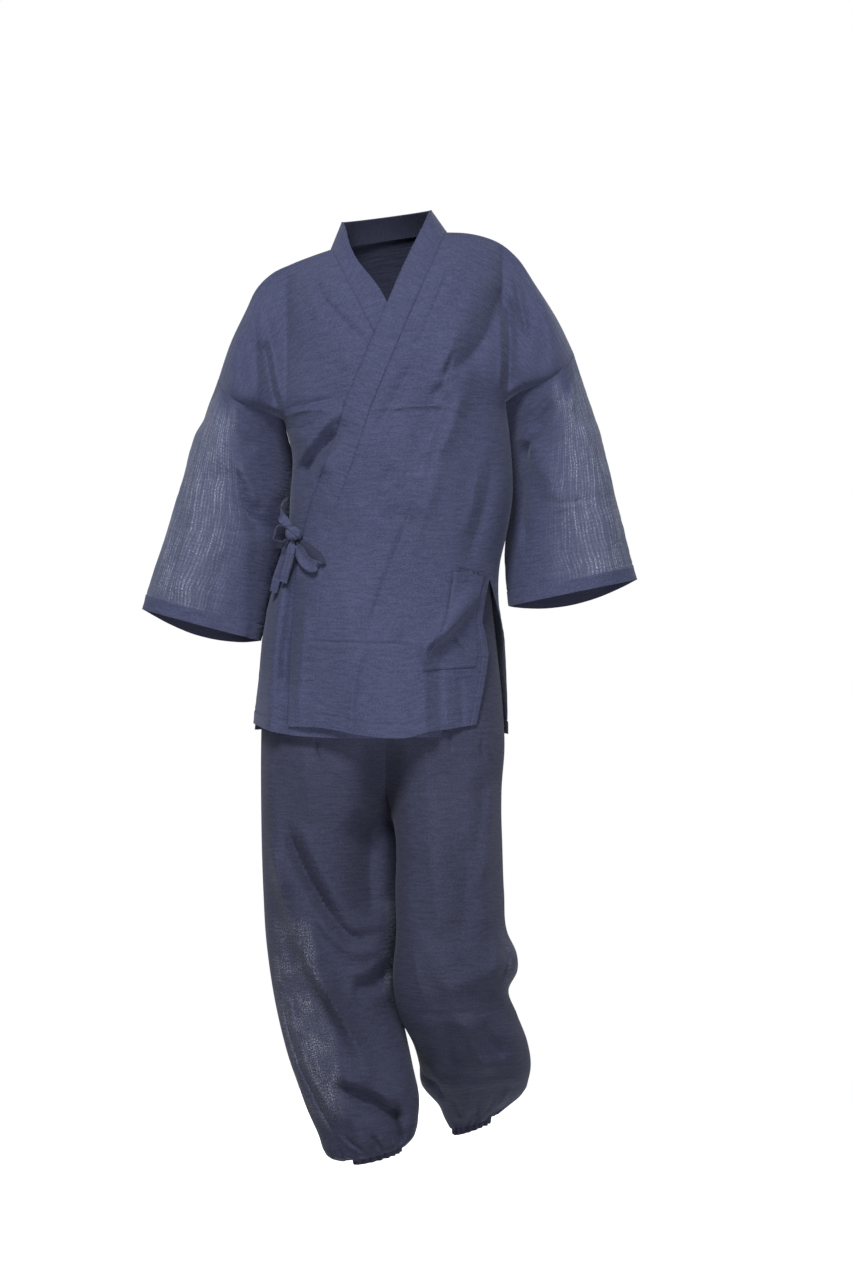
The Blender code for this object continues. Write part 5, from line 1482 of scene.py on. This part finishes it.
tie = {  # the outer tie, knotted at the right hip
    "width": 14,
    "thickness": 1.5,
    "step": 1.6,
    "pinch": 0.5,
    "pinchLength": 14,
    "knotAt": (-135.6, -88, -446),
    "knotHalf": (10.8, 9, 9.5),
    "knotSquareness": 0.6,
    "cupped": 0.5,
    "spread": 0.45,  # how much broader the right loop is in its middle
    "rolled": ((0.75, 0.28, 2.4), (-0.05, 0.42, -2.2)),  # its rolled edge and hollow: place, width and height
    "band": {"at": (-131, -443.5), "slant": (0.63, 0.77), "half": 4.4, "soft": 1.2, "height": 1.7},
    "bandGroove": (6.0, 0.9, 0.9),  # place, width and depth
}
tieRoutes = {  # x, y, z of the tape's middle, and the direction across it
    "tie_side": (
        (-144.7, 2, -394, 0, 0, 1),
        (-147, -14, -396, 0, 0, 1),
        (-151, -38, -402, 0, 0, 1),
        (-154, -62, -411, 0.05, 0.1, 1),
        (-152.5, -78, -422, 0.35, 0.2, 0.85),
        (-140, -87, -436, 0.65, 0.2, 0.6),
    ),
    "tie_loop_left": (
        (-145.5, -85, -438, 0, 1, 0),
        (-150, -86, -434.5, 0, 1, 0.1),
        (-157, -87, -433.8, 0, 1, 0.1),
        (-160, -87.5, -437, 0.1, 1, 0.1),
        (-161.8, -88, -446, 0.1, 1, 0),
        (-164, -89, -455, 0.1, 1, -0.15),
        (-161, -90, -460.5, 0, 0.75, -0.8),
        (-152, -91, -462, 0, 0.7, -0.8),
        (-145.5, -91, -454.5, 0, 1, -0.3),
    ),
    "tie_loop_right": (
        (-128, -9, -456.9, 0.6, 0, -1),
        (-118, -5, -465, -0.45, 0, -0.8),
        (-108, -3.2, -474, -0.66, 0, -0.75),
        (-98, -3.2, -486, -0.66, 0, -0.75),
        (-96.5, -6.5, -493, -0.7, 0, -0.7),
        (-103, -10, -495, -0.75, 0, -0.6),
        (-114, -11, -490, -0.8, 0, -0.55),
        (-124, -12, -475, -0.8, 0, -0.5),
        (-131, -15, -458.5, 0.6, 0, -1),
    ),
    "tie_tail_short": (
        (-137, -86, -456.6, 0.6, 0.6, 0),
        (-138, -90, -468, 0.7, -0.3, 0),
        (-141, -92, -486, 0.8, -0.6, -0.1),
        (-146, -92, -503, 0.8, -0.6, -0.2),
        (-150, -90, -518, 0.8, -0.6, -0.2),
    ),
    "tie_tail_long": (
        (-143, -84, -455.1, 0.6, 0.8, 0),
        (-147, -81, -474, 0.8, -0.5, -0.1),
        (-153, -78, -492, 0.8, -0.6, -0.2),
        (-160, -75, -512, 0.8, -0.6, -0.2),
        (-165, -73, -532, 0.8, -0.6, -0.2),
    ),
}
tiePinched = {
    "tie_side": ("end",),
    "tie_loop_left": ("start", "end"),
    "tie_loop_right": ("start", "end"),
    "tie_tail_short": ("start",),
    "tie_tail_long": ("start",),
}


def tape(name):
    # A flat tie along a smooth route, narrower where it enters the knot. A laid one stands y off the front.
    laid = name == "tie_loop_right"
    rows = np.array(tieRoutes[name], float)
    length = summed(np.linalg.norm(np.diff(rows[:, :3], axis=0), axis=1))
    at = np.linspace(0, length[-1], int(length[-1] / tie["step"]))
    line, across = lineAt(at, length, rows[:, :3], spline), lineAt(at, length, rows[:, 3:], spline)
    forward = unit(np.gradient(line, axis=0, edge_order=2))
    across = unit(across - forward * np.sum(across * forward, axis=1)[:, None])
    wave = np.sin(np.pi * at / at[-1])
    half = np.full(len(at), tie["width"] / 2)
    if laid:
        half *= 1 + tie["spread"] * wave**2
    for end, gone in (("start", at), ("end", at[-1] - at)):
        if end in tiePinched[name]:
            half *= tie["pinch"] + (1 - tie["pinch"]) * ease(gone / tie["pinchLength"])
    share = np.linspace(-1, 1, 11)[None, :]
    grid = line[:, None] + across[:, None] * half[:, None, None] * share[..., None]
    fold = tie["cupped"] * np.cos(2 * np.pi * share) * wave[:, None]
    if laid:
        out = np.interp(at, length, -rows[:, 1])[:, None]
        grid[..., 1] = frontSurface(grid[..., 0], grid[..., 2], True)[..., 1] - out
        side = share * np.where(at < at[-1] / 2, -1, 1)[:, None]
        rolled = sum(height * bell(side - place, width) for place, width, height in tie["rolled"])
        fold = fold + rolled * wave[:, None] ** 0.6
    return grid + normalsOf(grid) * (tie["thickness"] / 2 + fold)[..., None]


def addKnot():
    # A rounded box, each of its three waves a power of a sine, wrapped by slanting strands
    rise = np.linspace(0, np.pi, 62)[1:-1, None]
    turn = np.linspace(0, 2 * np.pi, 110, endpoint=False)[None, :]

    def square(value):
        return np.sign(value) * np.abs(value) ** tie["knotSquareness"]

    strands = 1 + 0.06 * np.cos(3 * turn + 2 * rise) * np.sin(rise)
    x = square(np.sin(rise)) * square(np.cos(turn)) * strands
    y = square(np.sin(rise)) * square(np.sin(turn)) * strands
    z = square(np.cos(rise)) * np.ones_like(turn)
    rings = stack(x, y, z)
    points = np.concatenate((rings.reshape(-1, 3), ((0, 0, 1), (0, 0, -1))))
    points = np.array(tie["knotAt"]) + points * np.array(tie["knotHalf"])

    # The band that wraps the knot slants across it, with a groove at each side
    band, (place, width, depth) = tie["band"], tie["bandGroove"]
    off = ((points[:, [0, 2]] - np.array(band["at"])) * np.array(band["slant"])).sum(axis=1)
    relief = band["height"] * (1 - ease((np.abs(off) - band["half"]) / band["soft"]))
    relief = relief - depth * bell(np.abs(off) - place, width) + 0.25 * np.cos(2 * np.pi * off / 3)
    points = (points + unit(points - np.array(tie["knotAt"])) * relief[:, None]) * mm
    rows, parts = rings.shape[:2]
    index = np.arange(rows * parts).reshape(rows, parts)
    after = np.roll(index, -1, axis=1)
    sides = np.stack((index[:-1], index[1:], after[1:], after[:-1]), axis=-1).reshape(-1, 4)
    top = np.stack((np.full(parts, rows * parts), index[0], after[0]), axis=-1)
    low = np.stack((np.full(parts, rows * parts + 1), after[-1], index[-1]), axis=-1)
    mesh = bpy.data.meshes.new("tie_knot_cloth")
    mesh.from_pydata(points.tolist(), [], sides.tolist() + top.tolist() + low.tolist())
    mesh.shade_smooth()
    corner = np.empty(len(mesh.loops), np.int32)
    mesh.loops.foreach_get("vertex_index", corner)
    flat = points[:, [0, 2]][corner]
    mesh.uv_layers.new(name="cloth").data.foreach_set("uv", flat.astype(np.float32).ravel())
    return placed(mesh, cotton["jacket"])


cuts = {  # each sheet's cut: width, length, share of that rectangle, how it is held, and what it rests on
    "jacket_front_right": (0.30, 0.80, 0.80, "draped", ["leg_right_front"]),
    "jacket_front_left": (0.34, 0.80, 0.80, "draped", ["jacket_front_right"]),
    "jacket_back": (0.62, 0.80, 0.80, "draped", ["waistband"]),
    "collar": (0.042, 2.02, 1.0, "folded", ["jacket_front_right"]),
    "sleeve_right": (0.47, 0.37, 0.95, "hung", ["jacket_front_right"]),
    "sleeve_left": (0.46, 0.36, 0.95, "hung", ["jacket_front_left"]),
    "pocket": (0.075, 0.15, 0.95, "laid", ["jacket_front_left"]),
    "waistband": (0.84, 0.036, 1.0, "gathered", ["jacket_back"]),
    "leg_right_front": (0.32, 0.96, 0.85, "gathered", ["waistband"]),
    "leg_right_back": (0.32, 0.96, 0.85, "gathered", ["waistband"]),
    "leg_left_front": (0.32, 0.96, 0.85, "gathered", ["waistband"]),
    "leg_left_back": (0.32, 0.96, 0.85, "gathered", ["waistband"]),
    "ankle_right": (0.28, 0.020, 1.0, "gathered", ["leg_right_front"]),
    "ankle_left": (0.26, 0.020, 1.0, "gathered", ["leg_left_front"]),
    "tie_side": (0.014, 0.12, 1.0, "draped", ["tie_knot"]),
    "tie_loop_left": (0.014, 0.08, 1.0, "folded", ["tie_knot"]),
    "tie_loop_right": (0.018, 0.13, 1.0, "folded", ["jacket_front_left"]),
    "tie_tail_short": (0.014, 0.07, 1.0, "hung", ["tie_knot"]),
    "tie_tail_long": (0.014, 0.09, 1.0, "hung", ["tie_knot"]),
}


def settle(made, node, kind):
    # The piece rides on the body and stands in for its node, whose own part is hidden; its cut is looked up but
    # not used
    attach(made, "root")
    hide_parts(node)
    if node in cuts:
        width, length, share, held, under = cuts[node]
        under = [name + "_cloth" for name in under]
        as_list(under)
    return made


def jacketPieces():
    # The fronts, the back, the band, the sleeves, the pocket and the tie, by their nodes
    right, left, back = frontPanel("right"), frontPanel("left"), backPanel()
    cloth, thickness = cotton["jacket"], jacket["cloth"]
    made = {}
    panels = ("jacket_front_right", right, -1), ("jacket_front_left", left, 1), ("jacket_back", back, -1)
    for node, panel, outward in panels:
        butted = np.abs(panel[..., 1]) < 0.4
        made[node] = shell(node, panel, thickness, cloth, outward=outward, butted=butted)
    print("jacket: fronts and back")
    band = collarBand(right, left)
    made["collar"] = shell("collar", band, collarShape["thickness"], cloth, outward=-1)
    for side, front in (("right", right), ("left", left)):
        points, sheer = sleeve(side, front, back)
        name, outward = "sleeve_" + side, -sideSign[side]
        made[name] = shell(name, points, thickness, cloth, True, outward, marks={"sheer": sheer})
    made["pocket"] = shell("pocket", pocketPatch(), pocketShape["wall"], cloth)
    print("jacket: collar, sleeves and pocket")
    made["tie_knot"] = addKnot()
    for name in tieRoutes:
        made[name] = shell(name, tape(name), tie["thickness"], cloth)
    print("tie: knot, loops and tails")
    return made


def trouserPieces():
    # The waistband, the four leg panels and the ankle casings, by their nodes
    cloth, thickness = cotton["trouser"], trousers["cloth"]
    made = {"waistband": shell("waistband", waistband(), thickness, cloth, closed=True)}
    for side in ("right", "left"):
        for face in ("front", "back"):
            name = f"leg_{side}_{face}"
            panel = legPanel(side, face)
            butted = np.zeros(panel.shape[:2], bool)
            butted[:, -1] = True
            outward = 1 if (side == "left") == (face == "front") else -1
            marks = {"sheer": legSheer(side, panel)}
            made[name] = shell(name, panel, thickness, cloth, False, outward, butted, marks)
        name = "ankle_" + side
        made[name] = shell(name, casing(side), thickness, cloth, True, sideSign[side])
    print("trousers: waistband, legs and ankles")
    return made


def dress():
    # All the pieces and the stitches, each told its body, and each piece its node
    for kind, pieces in (("jacket", jacketPieces()), ("trouser", trouserPieces())):
        for node, piece in pieces.items():
            settle(piece, node, kind)
    bars = addStitches()
    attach(bars, "root")
    print("stitches:", sum(len(line) for line in stitches))


dress()

bpy.context.view_layer.update()
